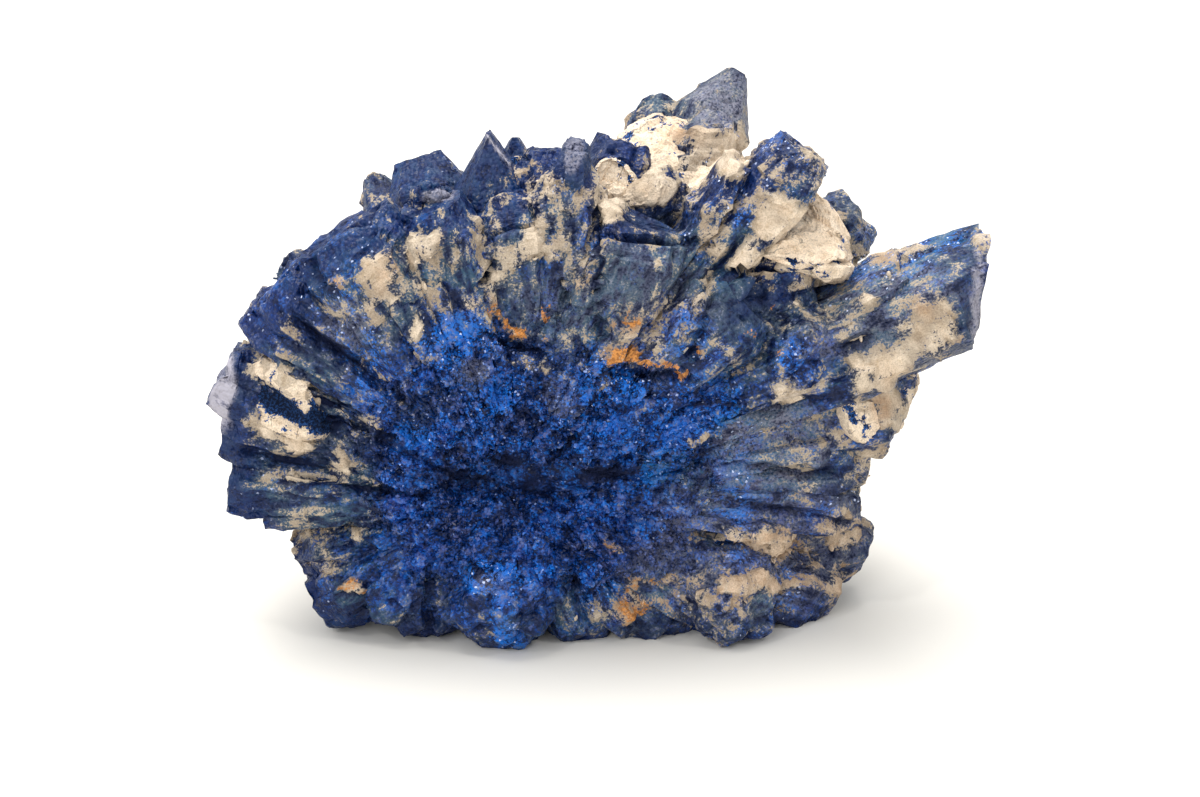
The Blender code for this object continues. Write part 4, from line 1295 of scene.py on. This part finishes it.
for side in ("left", "crown", "right", "foot"):
    piece_name = f"blades_{side}"
    piece_grids = []
    for number, blade in enumerate(BLADES):
        fan = number < len(FAN_BLADES)
        beside = number >= len(BLADES) - len(COMPANIONS) * len(FAN_BLADES)
        if (fan or beside) and blade.name.startswith(side):
            detail = BLADE_DETAIL["beside" if beside else "fan"]
            piece_grids.append(blade_grid(blade, number, *detail, FAN_START, FAN_RELIEF))
    ALL_GRIDS += piece_grids
    put_piece(piece_name, grid_mesh(piece_name, piece_grids), AZURITE, CLUSTER)

CALM_BLADES = ("dark_point", "dark_point_twin", "left_blue", "left_low_blue", "top_back")
CALM_SHARE = 0.3
row_grids, hidden_grids = [], []
for number, blade in enumerate(BLADES):
    if len(FAN_BLADES) <= number < len(FAN_BLADES) + len(REAR_ROW):
        calm = CALM_SHARE if blade.name in CALM_BLADES else 1.0
        row_grids.append(blade_grid(blade, number, *BLADE_DETAIL["row"], ROW_START, calm))
    elif blade.name.startswith("back_"):
        hidden_grids.append(blade_grid(blade, number, *BLADE_DETAIL["back"], BACK_START))
ALL_GRIDS += row_grids + hidden_grids
put_piece("blades_rear_row", grid_mesh("blades_rear_row", row_grids), AZURITE, CLUSTER)
put_piece("blades_back", grid_mesh("blades_back", hidden_grids), AZURITE, CLUSTER)


# The dish itself: a crust of druse grown over the roots of the blades. It is one closed surface, with bumps,
# streaks that run out from the middle between the blades, and the pit.

DISH_AROUND, DISH_FRONT_ROWS, DISH_BACK_ROWS = 540, 92, 8
SWIRL_AROUND, SWIRL_ALONG = 14, 5


def dish_grid():
    """The dish with its radial lines: a noise that changes quickly round the middle and slowly away from it.
    Its lay is spread so that patches keep their size towards the rim."""
    points = dish_points(DISH_AROUND, DISH_FRONT_ROWS, DISH_BACK_ROWS)
    offset = points - ROOT
    turn = np.arctan2(offset[..., 2], offset[..., 0])
    reach = np.hypot(offset[..., 0], offset[..., 2])
    ahead = offset[..., 1]
    swirl = (SWIRL_AROUND * np.cos(turn) + 0.8 * ahead, SWIRL_AROUND * np.sin(turn) - 0.5 * ahead)
    swirl = np.stack(swirl + (reach / SWIRL_ALONG,), axis=-1)
    shown = ramp(reach, 1.5, 6.0)
    lines = 0.4 * np.clip(rough_swells(swirl, 1.6, 131, 3), -1, 1) * shown
    fissures = 0.6 * (1 - ramp(np.abs(swells(swirl, 2.3, 139)), 0.0, 0.10)) * shown
    front = (np.arange(len(points)) < DISH_FRONT_ROWS)[:, None] * np.ones_like(reach)
    spread = 1.9 * reach**0.75
    lay = np.stack((spread * np.cos(turn), ahead, spread * np.sin(turn)), axis=-1)
    return relieved(points, lines, fissures, front, 1.0, lay)


DISH = dish_grid()
ALL_GRIDS.append(DISH)
put_piece("druse_dish", grid_mesh("druse_dish", [DISH]), AZURITE, CLUSTER)


# Knobs: round clusters of druse at the foot and in gaps, and the rounded heart that the back blades stand on.
# They grew as balls of crystals, so they are lumpy all over.

KNOB_SWELL, HEART_SWELL = 0.14, 0.12
Knob = namedtuple("Knob", "name centre radius")
KNOBS = [
    Knob("ball", (-5.9, -8.5, 3.2), 3.4),
    Knob("ball_left", (-11.5, -7.5, 3.0), 2.8),
    Knob("ball_right", (8.0, -7.5, 3.0), 3.0),
    Knob("right_low", (14.2, -1.5, 3.6), 2.8),
    Knob("right_lump", (11.8, -7.2, 18.4), 3.0),
    Knob("saddle_foot", (10.2, -7.0, 21.4), 2.6),
    Knob("gully_foot", (3.3, -4.4, 26.3), 1.9),
    Knob("pale_1", (-10.4, -8.4, 27.9), 0.7),
    Knob("pale_2", (-9.5, -8.5, 28.3), 0.6),
    Knob("pale_3", (-8.8, -8.2, 28.1), 0.6),
]
SMALL_KNOB = 1.0
KNOB_LUMPS, KNOB_RELIEF = 0.22, 1.3
KNOB_DETAIL, SMALL_KNOB_DETAIL, HEART_DETAIL = (46, 74), (20, 30), (70, 110)


def uneven(unit, centre):
    """Uneven swell of a rounded shape, from -1 to 1: three sine waves across it, shifted by where it lies."""
    start = centre[0] + 2.0 * centre[1] + 3.0 * centre[2]
    return (
        0.5 * np.sin(2.1 * unit[..., 0] + 1.3 * unit[..., 2] + start)
        + 0.3 * np.sin(2.9 * unit[..., 1] - 1.7 * unit[..., 0] + 2.0 * start)
        + 0.2 * np.sin(4.3 * unit[..., 2] + 2.3 * unit[..., 1] + 3.0 * start)
    )


def unit_sphere(rows, around):
    """Grid of a sphere of radius 1, from its lower end to its upper end and without the two end points."""
    rise = np.linspace(-0.5, 0.5, rows + 2)[1:-1, None] * math.pi
    turn = np.linspace(0, 2 * math.pi, around, endpoint=False)[None, :]
    high = np.sin(rise) * np.ones_like(turn)
    return np.stack((np.cos(rise) * np.cos(turn), np.cos(rise) * np.sin(turn), high), axis=-1)


def round_points(centre, radii, swell, rows, around):
    """Grid of an ellipsoid round the origin, its radii swelling unevenly by that share."""
    unit = unit_sphere(rows, around)
    return unit * np.asarray(radii) * (1 + swell * uneven(unit, centre))[..., None]


def round_lines(points, size, seed):
    """Noise from -1 to 1 that takes the place of growth lines on a rounded shape."""
    return np.clip(rough_swells(points, size, seed, 3), -1, 1)


def knob_grid(knob, rows, around):
    """A knob: an uneven ball moved to its place, made lumpy, and grown over with round grains."""
    points = np.array(knob.centre) + round_points(knob.centre, (knob.radius,) * 3, KNOB_SWELL, rows, around)
    lumpy = KNOB_LUMPS * rough_swells(points, 2.2, 151, 2)
    points = points + lumpy[..., None] * grid_normals(points)
    return relieved(points, round_lines(points, 1.5, 161), 0.0, KNOB_RELIEF, 1.0, points)


def heart_grid():
    """The heart: an uneven ellipsoid behind the dish, grown over with round grains."""
    points = HEART_CENTRE + round_points(HEART_CENTRE, HEART_RADII, HEART_SWELL, *HEART_DETAIL)
    return relieved(points, round_lines(points, 2.5, 157), 0.0, 1.0, 1.0, points)


KNOB_GRIDS = [knob_grid(knob, *KNOB_DETAIL) for knob in KNOBS if knob.radius > SMALL_KNOB]
KNOB_GRIDS += [knob_grid(knob, *SMALL_KNOB_DETAIL) for knob in KNOBS if knob.radius <= SMALL_KNOB]
HEART = heart_grid()
ALL_GRIDS += KNOB_GRIDS + [HEART]
put_piece("knobs", grid_mesh("knobs", KNOB_GRIDS), AZURITE, CLUSTER)
put_piece("heart", grid_mesh("heart", [HEART]), AZURITE, CLUSTER)


# Druse: small chisel-ended crystals of azurite that stand on the exposed surfaces. They are thickest in the
# dish, and smaller and fewer on the blades.

DRUSE_ON_DISH, DRUSE_ON_BLADES = 11000, 6000
DISH_CRYSTALS, BLADE_CRYSTALS = (0.08, 0.34), (0.06, 0.15)
BASE_CLEAR, NO_CHANCE = 0.3, 1e-9
PRISM_POINTS = np.array(
    [(-1, -1, -0.5), (1, -1, -0.5), (1, 1, -0.5), (-1, 1, -0.5)]
    + [(-1, -1, 0.55), (1, -1, 0.55), (1, 1, 0.55), (-1, 1, 0.55), (-0.7, 0, 1), (0.7, 0, 1)]
)
PRISM_FACES = [(3, 2, 1, 0), (0, 1, 5, 4), (1, 2, 6, 5), (2, 3, 7, 6), (3, 0, 4, 7)]
PRISM_FACES += [(4, 5, 9, 8), (6, 7, 8, 9), (5, 6, 9), (7, 4, 8)]
PRISM = (PRISM_POINTS, PRISM_FACES)


def scattered_mesh(name, grids, count, seed, shape, weigh, sizes, tilt, smooth=False):
    """Copies of one small shape on the grids' points: each stands on its point's normal, leans and turns at
    random, and takes the point's masks. `weigh` gives each point's chance from its place and its masks."""
    rng = np.random.default_rng(seed)
    points = np.concatenate([grid.points.reshape(-1, 3) for grid in grids])
    normals = np.concatenate([grid.normals.reshape(-1, 3) for grid in grids])
    lay = np.concatenate([grid.lay.reshape(-1, 3) for grid in grids])
    masks = np.concatenate([np.stack([mask.ravel() for mask in grid.masks], axis=-1) for grid in grids])
    chance = np.concatenate([face_sizes(grid.points).ravel() for grid in grids])
    chance = chance * weigh(points, Masks(*masks.T))
    chosen = rng.choice(len(points), count, replace=False, p=chance / chance.sum())
    up = normals[chosen]
    up = up + tilt * rng.normal(size=up.shape)
    up /= np.linalg.norm(up, axis=1, keepdims=True)
    side = np.cross(up, rng.normal(size=up.shape))
    side /= np.linalg.norm(side, axis=1, keepdims=True)
    across = np.cross(up, side)
    size = sizes[0] + (sizes[1] - sizes[0]) * rng.random(count) ** 3
    wide = size * rng.uniform(0.35, 0.6, count)
    thin = size * rng.uniform(0.18, 0.4, count)
    shape_points, shape_faces = shape
    copies = (
        points[chosen][:, None]
        + (shape_points[None, :, :1] * wide[:, None, None]) * side[:, None]
        + (shape_points[None, :, 1:2] * thin[:, None, None]) * across[:, None]
        + (shape_points[None, :, 2:] * size[:, None, None]) * up[:, None]
    )
    copies[..., 2] = np.maximum(copies[..., 2], 0.0)
    corners, counts = [], []
    starts = np.arange(count) * len(shape_points)
    for corner_count in (4, 3):
        faces = np.array([face for face in shape_faces if len(face) == corner_count])
        corners.append((starts[:, None, None] + faces[None]).ravel())
        counts.append(np.full(count * len(faces), corner_count))
    corners, counts = np.concatenate(corners), np.concatenate(counts)
    masks, lay = (np.repeat(values[chosen], len(shape_points), axis=0) for values in (masks, lay))
    return masked_mesh(name, copies.reshape(-1, 3), corners, counts, Masks(*masks.T), lay, smooth)


def face_sizes(points):
    """Area of the grid round each of its points."""
    down = np.gradient(points, axis=0)
    round_it = (np.roll(points, -1, axis=1) - np.roll(points, 1, axis=1)) / 2
    return np.linalg.norm(np.cross(round_it, down), axis=-1)


def bare_chance(points, masks):
    """Druse stands where clay is thin and the surface is open, and not on the flat base."""
    bare = 1 - ramp(masks.clay, 0.25, 0.5)
    open_air = 1 - 0.35 * masks.hollow
    return bare * open_air * (points[:, 2] > BASE_CLEAR) + NO_CHANCE


def blade_chance(points, masks):
    """The same, but the blades' outer ends stay clean unless they are bright with druse."""
    inner = 1 - ramp(fan_share(points), 0.55, 0.78)
    return bare_chance(points, masks) * np.maximum(inner, 0.25 * masks.bright * (1 - masks.rim))


druse_mesh = scattered_mesh(
    "druse_on_dish", [DISH], DRUSE_ON_DISH, 201, PRISM, bare_chance, DISH_CRYSTALS, 0.4
)
put_piece("druse_on_dish", druse_mesh, AZURITE, CLUSTER)
other_grids = [grid for grid in ALL_GRIDS if grid is not DISH]
druse_mesh = scattered_mesh(
    "druse_on_blades", other_grids, DRUSE_ON_BLADES, 207, PRISM, blade_chance, BLADE_CRYSTALS, 0.3
)
put_piece("druse_on_blades", druse_mesh, AZURITE, CLUSTER)


# Clay lumps wedged between the blades: dried mud, matt, with cracks and pores shown as painted shade and blue
# grains stuck in it.
# Those that face the view broke off almost flat, and all of them sit a little back in their gaps.

Lump = namedtuple("Lump", "node centre radii tilt")
LUMPS = [
    Lump("clay_saddle", (10.4, -5.4, 25.4), (5.6, 4.4, 2.8), 32),
    Lump("clay_gully", (1.3, -5.4, 25.2), (2.1, 4.2, 4.4), 0),
    Lump("clay_crown", (5.8, 3.0, 26.2), (4.4, 4.4, 3.3), 10),
    Lump("clay_point", (-4.8, -6.2, 26.4), (3.2, 4.0, 3.2), 0),
    Lump("clay_right", (16.4, -4.6, 15.0), (3.4, 3.8, 3.0), 20),
    Lump("clay_left", (-18.2, -7.2, 15.4), (3.8, 4.2, 2.4), 30),
    Lump("clay_foot", (8.2, -5.2, 4.2), (4.6, 4.4, 2.8), -20),
    Lump("clay_back_upper", (-6.0, 5.0, 21.4), (6.2, 4.2, 4.2), 0),
    Lump("clay_back_middle", (4.5, 8.0, 14.0), (5.6, 3.6, 4.4), 0),
    Lump("clay_back_lower", (-7.0, 6.8, 7.8), (5.6, 4.0, 3.6), 0),
]
CLAY_SWELL = 0.22
LUMP_SINK, GULLY_SINK = 0.3, 0.35
LUMP_ROUGH, LUMP_CHUNK, LUMP_CHIP = 0.32, 0.5, 0.20
LUMP_DETAIL = (60, 90)
PRESS_KEPT = 0.12
Press = namedtuple("Press", "way share")
PRESSES = {
    "clay_saddle": Press((0.0, -0.52, 0.85), 0.22),
    "clay_gully": Press((0.1, -0.85, 0.5), 0.3),
    "clay_crown": Press((0.0, -0.6, 0.8), 0.7),
    "clay_point": Press((0.1, -0.8, 0.5), 0.35),
    "clay_right": Press((0.5, -0.8, 0.1), 0.62),
    "clay_left": Press((-0.35, -0.9, 0.2), 0.55),
    "clay_foot": Press((0.1, -0.95, 0.1), 0.7),
}
STUCK_DARK, STUCK_BLUE = (0.006, 0.016, 0.055, 1), (0.025, 0.085, 0.27, 1)


def crack_and_pore_shade(tree, place, patch):
    """Painted shade of dried clay, from 0 to 1: 1 along drying cracks, which part bent plates here and there,
    and a half in the pores, which are the middles of a few small cells."""
    warp = add_node(tree, "ShaderNodeTexNoise", (-7, 6), {"Vector": place, "Scale": 0.7, "Detail": 3.0})
    warp = vector_node(tree, "SCALE", (-6, 6), {0: warp.outputs["Color"], "Scale": 2.2})
    links = {"Vector": vector_node(tree, "ADD", (-5, 6), {0: place, 1: warp}), "Scale": 0.36}
    plate = add_node(tree, "ShaderNodeTexVoronoi", (-4, 6), links, feature="DISTANCE_TO_EDGE").outputs
    crack = step_node(tree, plate["Distance"], 0.0, 0.022, (-3, 6))
    crack = math_node(tree, "SUBTRACT", 1.0, crack, at=(-2, 6))
    crack = times(tree, crack, step_node(tree, patch, 0.46, 0.54, (-3, 7)), (-1, 6))
    links = {"Vector": place, "Scale": 4.5}
    pore = add_node(tree, "ShaderNodeTexVoronoi", (-4, 8), links, feature="F1").outputs
    number = add_node(tree, "ShaderNodeSeparateColor", (-3, 8), {0: pore["Color"]}).outputs[0]
    pit = math_node(tree, "SUBTRACT", 1.0, step_node(tree, pore["Distance"], 0.12, 0.45, (-3, 9)), at=(-2, 9))
    pit = times(tree, pit, step_node(tree, number, 0.78, 0.84, (-2, 8)), (-1, 8))
    return math_node(tree, "MAXIMUM", times(tree, pit, 0.5, (0, 8)), crack, at=(1, 7))


def clay_material():
    """Dried clay with painted shade in its cracks, pores and hollows, lightened where the bright mask is
    high, partly as painted light, and with blue grains stuck in it in patches.
    """
    material = new_material("clay")
    tree = material.node_tree
    place = millimetres(tree, (-8, 2))
    skin = mask_sockets(tree, "cover", "tint")
    links = {"Rust": times(tree, skin.rust, 0.6, (-4, 0))}
    earth = add_node(tree, "ShaderNodeGroup", (-3, 0), links, node_tree=CLAY).outputs
    speck = noise_node(tree, place, 7.5, 2.0, 0.65, (-6, 3))
    patch = noise_node(tree, place, 1.3, 3.0, 0.62, (-6, 4))
    both = weighted(tree, patch, 1.1, times(tree, speck, 0.45, (-5, 3)), (-4, 4))
    thin = step_node(tree, skin.clay, 0.5, 0.2, (-5, 4))
    for column, (mask, weight) in enumerate(((thin, 0.22), (skin.hollow, 0.25), (skin.bright, -0.14))):
        both = weighted(tree, mask, weight, both, (column - 4, 5))
    blue = step_node(tree, both, 0.91, 0.96, (-4, 3))
    grains = blend_node(tree, step_node(tree, speck, 0.46, 0.60, (-4, 2)), STUCK_DARK, STUCK_BLUE, (-3, 2))
    colour = blend_node(tree, blue, earth["Colour"], grains, (-2, 1))
    # Painted shade: cracks, pores and hollows darken the clay.
    crack_and_hollow_shade = crack_and_pore_shade(tree, place, patch)
    crack_and_hollow_shade = math_node(tree, "MAXIMUM", times(tree, skin.hollow, 0.9, (0, 9)), crack_and_hollow_shade, at=(1, 8))
    keep = weighted(tree, crack_and_hollow_shade, -0.70, 0.94, (2, 7))
    # Painted light: clay is lightened where the bright mask is high.
    keep = weighted(tree, skin.bright, 0.30, keep, (3, 7))
    colour = vector_node(tree, "SCALE", (3, 1), {0: colour, "Scale": keep})
    links = {"Height": earth["Height"], "Strength": 0.9, "Distance": 0.0003}
    gritty = add_node(tree, "ShaderNodeBump", (3, 4), links).outputs["Normal"]
    add_shader(tree, {"Base Color": colour, "Normal": gritty, "Roughness": 0.95, "Specular IOR Level": 0.15})
    return material


CLAY_FINISH = clay_material()


def pressed(points, centre, way, share):
    """Points with the side that faces `way` pressed almost flat: past that share of its reach, only a little
    of the height is kept."""
    way = np.array(way) / np.linalg.norm(way)
    ahead = (points - np.array(centre)) @ way
    limit = share * ahead.max()
    beyond = np.maximum(ahead - limit, 0) * (1 - PRESS_KEPT)
    return points - beyond[..., None] * way


def lump_grid(lump, rows, around):
    """A clay lump: an ellipsoid tilted in the X-Z plane, set a little into the gap, swollen unevenly, broken
    into chunks that stand at their own heights, and rough with crumbs."""
    points = round_points(lump.centre, lump.radii, CLAY_SWELL, rows, around)
    turn = math.radians(lump.tilt)
    tilted = np.stack(
        (
            points[..., 0] * math.cos(turn) + points[..., 2] * math.sin(turn),
            points[..., 1],
            points[..., 2] * math.cos(turn) - points[..., 0] * math.sin(turn),
        ),
        axis=-1,
    )
    points = tilted + np.array(lump.centre)
    if lump.node in PRESSES:
        points = pressed(points, lump.centre, *PRESSES[lump.node])
    normals = grid_normals(points)
    bent = points + 0.8 * swells(points, 1.9, 173)[..., None]
    _, chunk = cells(bent, 2.4, 191)
    _, chip = cells(bent, 0.9, 197)
    masks = skin_masks(points, normals, np.zeros(points.shape[:2]))
    height = LUMP_ROUGH * rough_swells(points, 3.0, 171, 4) + LUMP_CHUNK * (chunk - 0.5)
    height = height + LUMP_CHIP * (chip - 0.5) - LUMP_SINK
    height = height - 0.5 * GROOVE_DEPTH * masks.groove
    if lump.node == "clay_gully":
        height = height - GULLY_SINK
    masks = masks._replace(clay=np.maximum(masks.clay, 1 - seen_share(points, normals)))
    return Grid(raised(points, height, normals), normals, masks, points)


for lump in LUMPS:
    lump_mesh = grid_mesh(lump.node, [lump_grid(lump, *LUMP_DETAIL)])
    put_piece(lump.node + "_look", lump_mesh, CLAY_FINISH, (lump.node,))


# Crumbs of clay: grains that stick to the azurite where its cover of clay is thick. Each is a narrow bead of
# dried mud, up to a millimetre long, that stands on the surface.

CRUMBS = 1300
CRUMB_SIZES = (0.12, 0.5)


def crumb_shape(rows, around):
    """A rounded bead of few faces, from its lower pole to its upper pole."""
    points = np.concatenate((unit_sphere(rows, around).reshape(-1, 3), [(0, 0, -1), (0, 0, 1)]))
    low_pole, high_pole = rows * around, rows * around + 1
    top = (rows - 1) * around
    faces = []
    for start in range(0, top, around):
        for n in range(around):
            after = (n + 1) % around
            faces.append((start + n, start + after, start + around + after, start + around + n))
    for n in range(around):
        after = (n + 1) % around
        faces.append((low_pole, after, n))
        faces.append((high_pole, top + n, top + after))
    return points, faces


def clay_chance(points, masks):
    """Crumbs stick where the clay is thick, and not on the flat base."""
    return ramp(masks.clay, 0.3, 0.7) * (points[:, 2] > BASE_CLEAR) + NO_CHANCE


crumb_mesh = scattered_mesh(
    "clay_crumbs", ALL_GRIDS, CRUMBS, 211, crumb_shape(3, 7), clay_chance, CRUMB_SIZES, 0.3, True
)
put_piece("clay_crumbs", crumb_mesh, CLAY_FINISH, ())


# The floor: a plain pale sheet, much larger than the specimen, level under its flat base. It is stage, and no
# part of the specimen.

FLOOR_HALF = 1.5
FLOOR_WHITE = (0.685, 0.665, 0.625, 1)


def floor_material():
    """Matt off-white."""
    material = new_material("floor")
    links = {"Base Color": FLOOR_WHITE, "Roughness": 0.9, "Specular IOR Level": 0.1}
    add_shader(material.node_tree, links)
    return material


floor_corners = [(x * FLOOR_HALF, y * FLOOR_HALF, 0.0) for x, y in ((-1, -1), (1, -1), (1, 1), (-1, 1))]
floor_mesh = bpy.data.meshes.new("floor")
floor_mesh.from_pydata(floor_corners, [], [(0, 1, 2, 3)])
floor_mesh.materials.append(floor_material())
floor = bpy.data.objects.new("floor", floor_mesh)
bpy.context.scene.collection.objects.link(floor)


# Light: a bright white tent seen behind the specimen, a broad soft window above and to the left, a fill
# from the front, and two small lamps that catch the facets.

Lamp = namedtuple("Lamp", "name place size watts colour")
LAMPS = [
    Lamp("window", (-0.16, 0.18, 0.80), 0.8, 10.5, (1.0, 0.985, 0.955)),
    Lamp("fill", (-0.25, -0.75, 0.45), 0.4, 2.4, (0.97, 0.985, 1.0)),
    Lamp("glint_left", (-0.35, -0.45, 0.55), 0.03, 0.8, (1.0, 1.0, 1.0)),
    Lamp("glint_right", (0.40, -0.30, 0.60), 0.03, 0.6, (1.0, 0.99, 0.97)),
]
LAMP_AIM = np.array((0.0, 0.0, 0.012))
WORLD_SEEN, WORLD_LIGHT = 1.0, 0.90
TENT_WHITE, TENT_COOL = (1, 1, 1, 1), (0.97, 0.985, 1.0, 1)


def place_lamps():
    """Square area lamps, each aimed at the middle of the specimen."""
    for lamp in LAMPS:
        data = bpy.data.lights.new(lamp.name, "AREA")
        data.size = lamp.size
        data.energy = lamp.watts
        data.color = lamp.colour
        item = bpy.data.objects.new(lamp.name, data)
        item.location = lamp.place
        way = LAMP_AIM - np.array(lamp.place)
        flat = math.hypot(way[0], way[1])
        item.rotation_euler = (math.atan2(flat, -way[2]), 0, math.atan2(-way[0], way[1]))
        bpy.context.scene.collection.objects.link(item)


def make_world():
    """White behind the specimen, and a slightly cool even light from all round."""
    world = bpy.data.worlds.new("tent")
    world.use_nodes = True
    tree = world.node_tree
    tree.nodes.clear()
    path = add_node(tree, "ShaderNodeLightPath", (-2, 0))
    lit = add_node(tree, "ShaderNodeBackground", (0, 1), {"Color": TENT_COOL, "Strength": WORLD_LIGHT})
    seen = add_node(tree, "ShaderNodeBackground", (0, 0), {"Color": TENT_WHITE, "Strength": WORLD_SEEN})
    links = {0: path.outputs["Is Camera Ray"], 1: lit.outputs[0], 2: seen.outputs[0]}
    both = add_node(tree, "ShaderNodeMixShader", (1, 0), links)
    add_node(tree, "ShaderNodeOutputWorld", (2, 0), {"Surface": both.outputs[0]})
    bpy.context.scene.world = world


place_lamps()
make_world()
bpy.context.scene.view_settings.view_transform = "Standard"
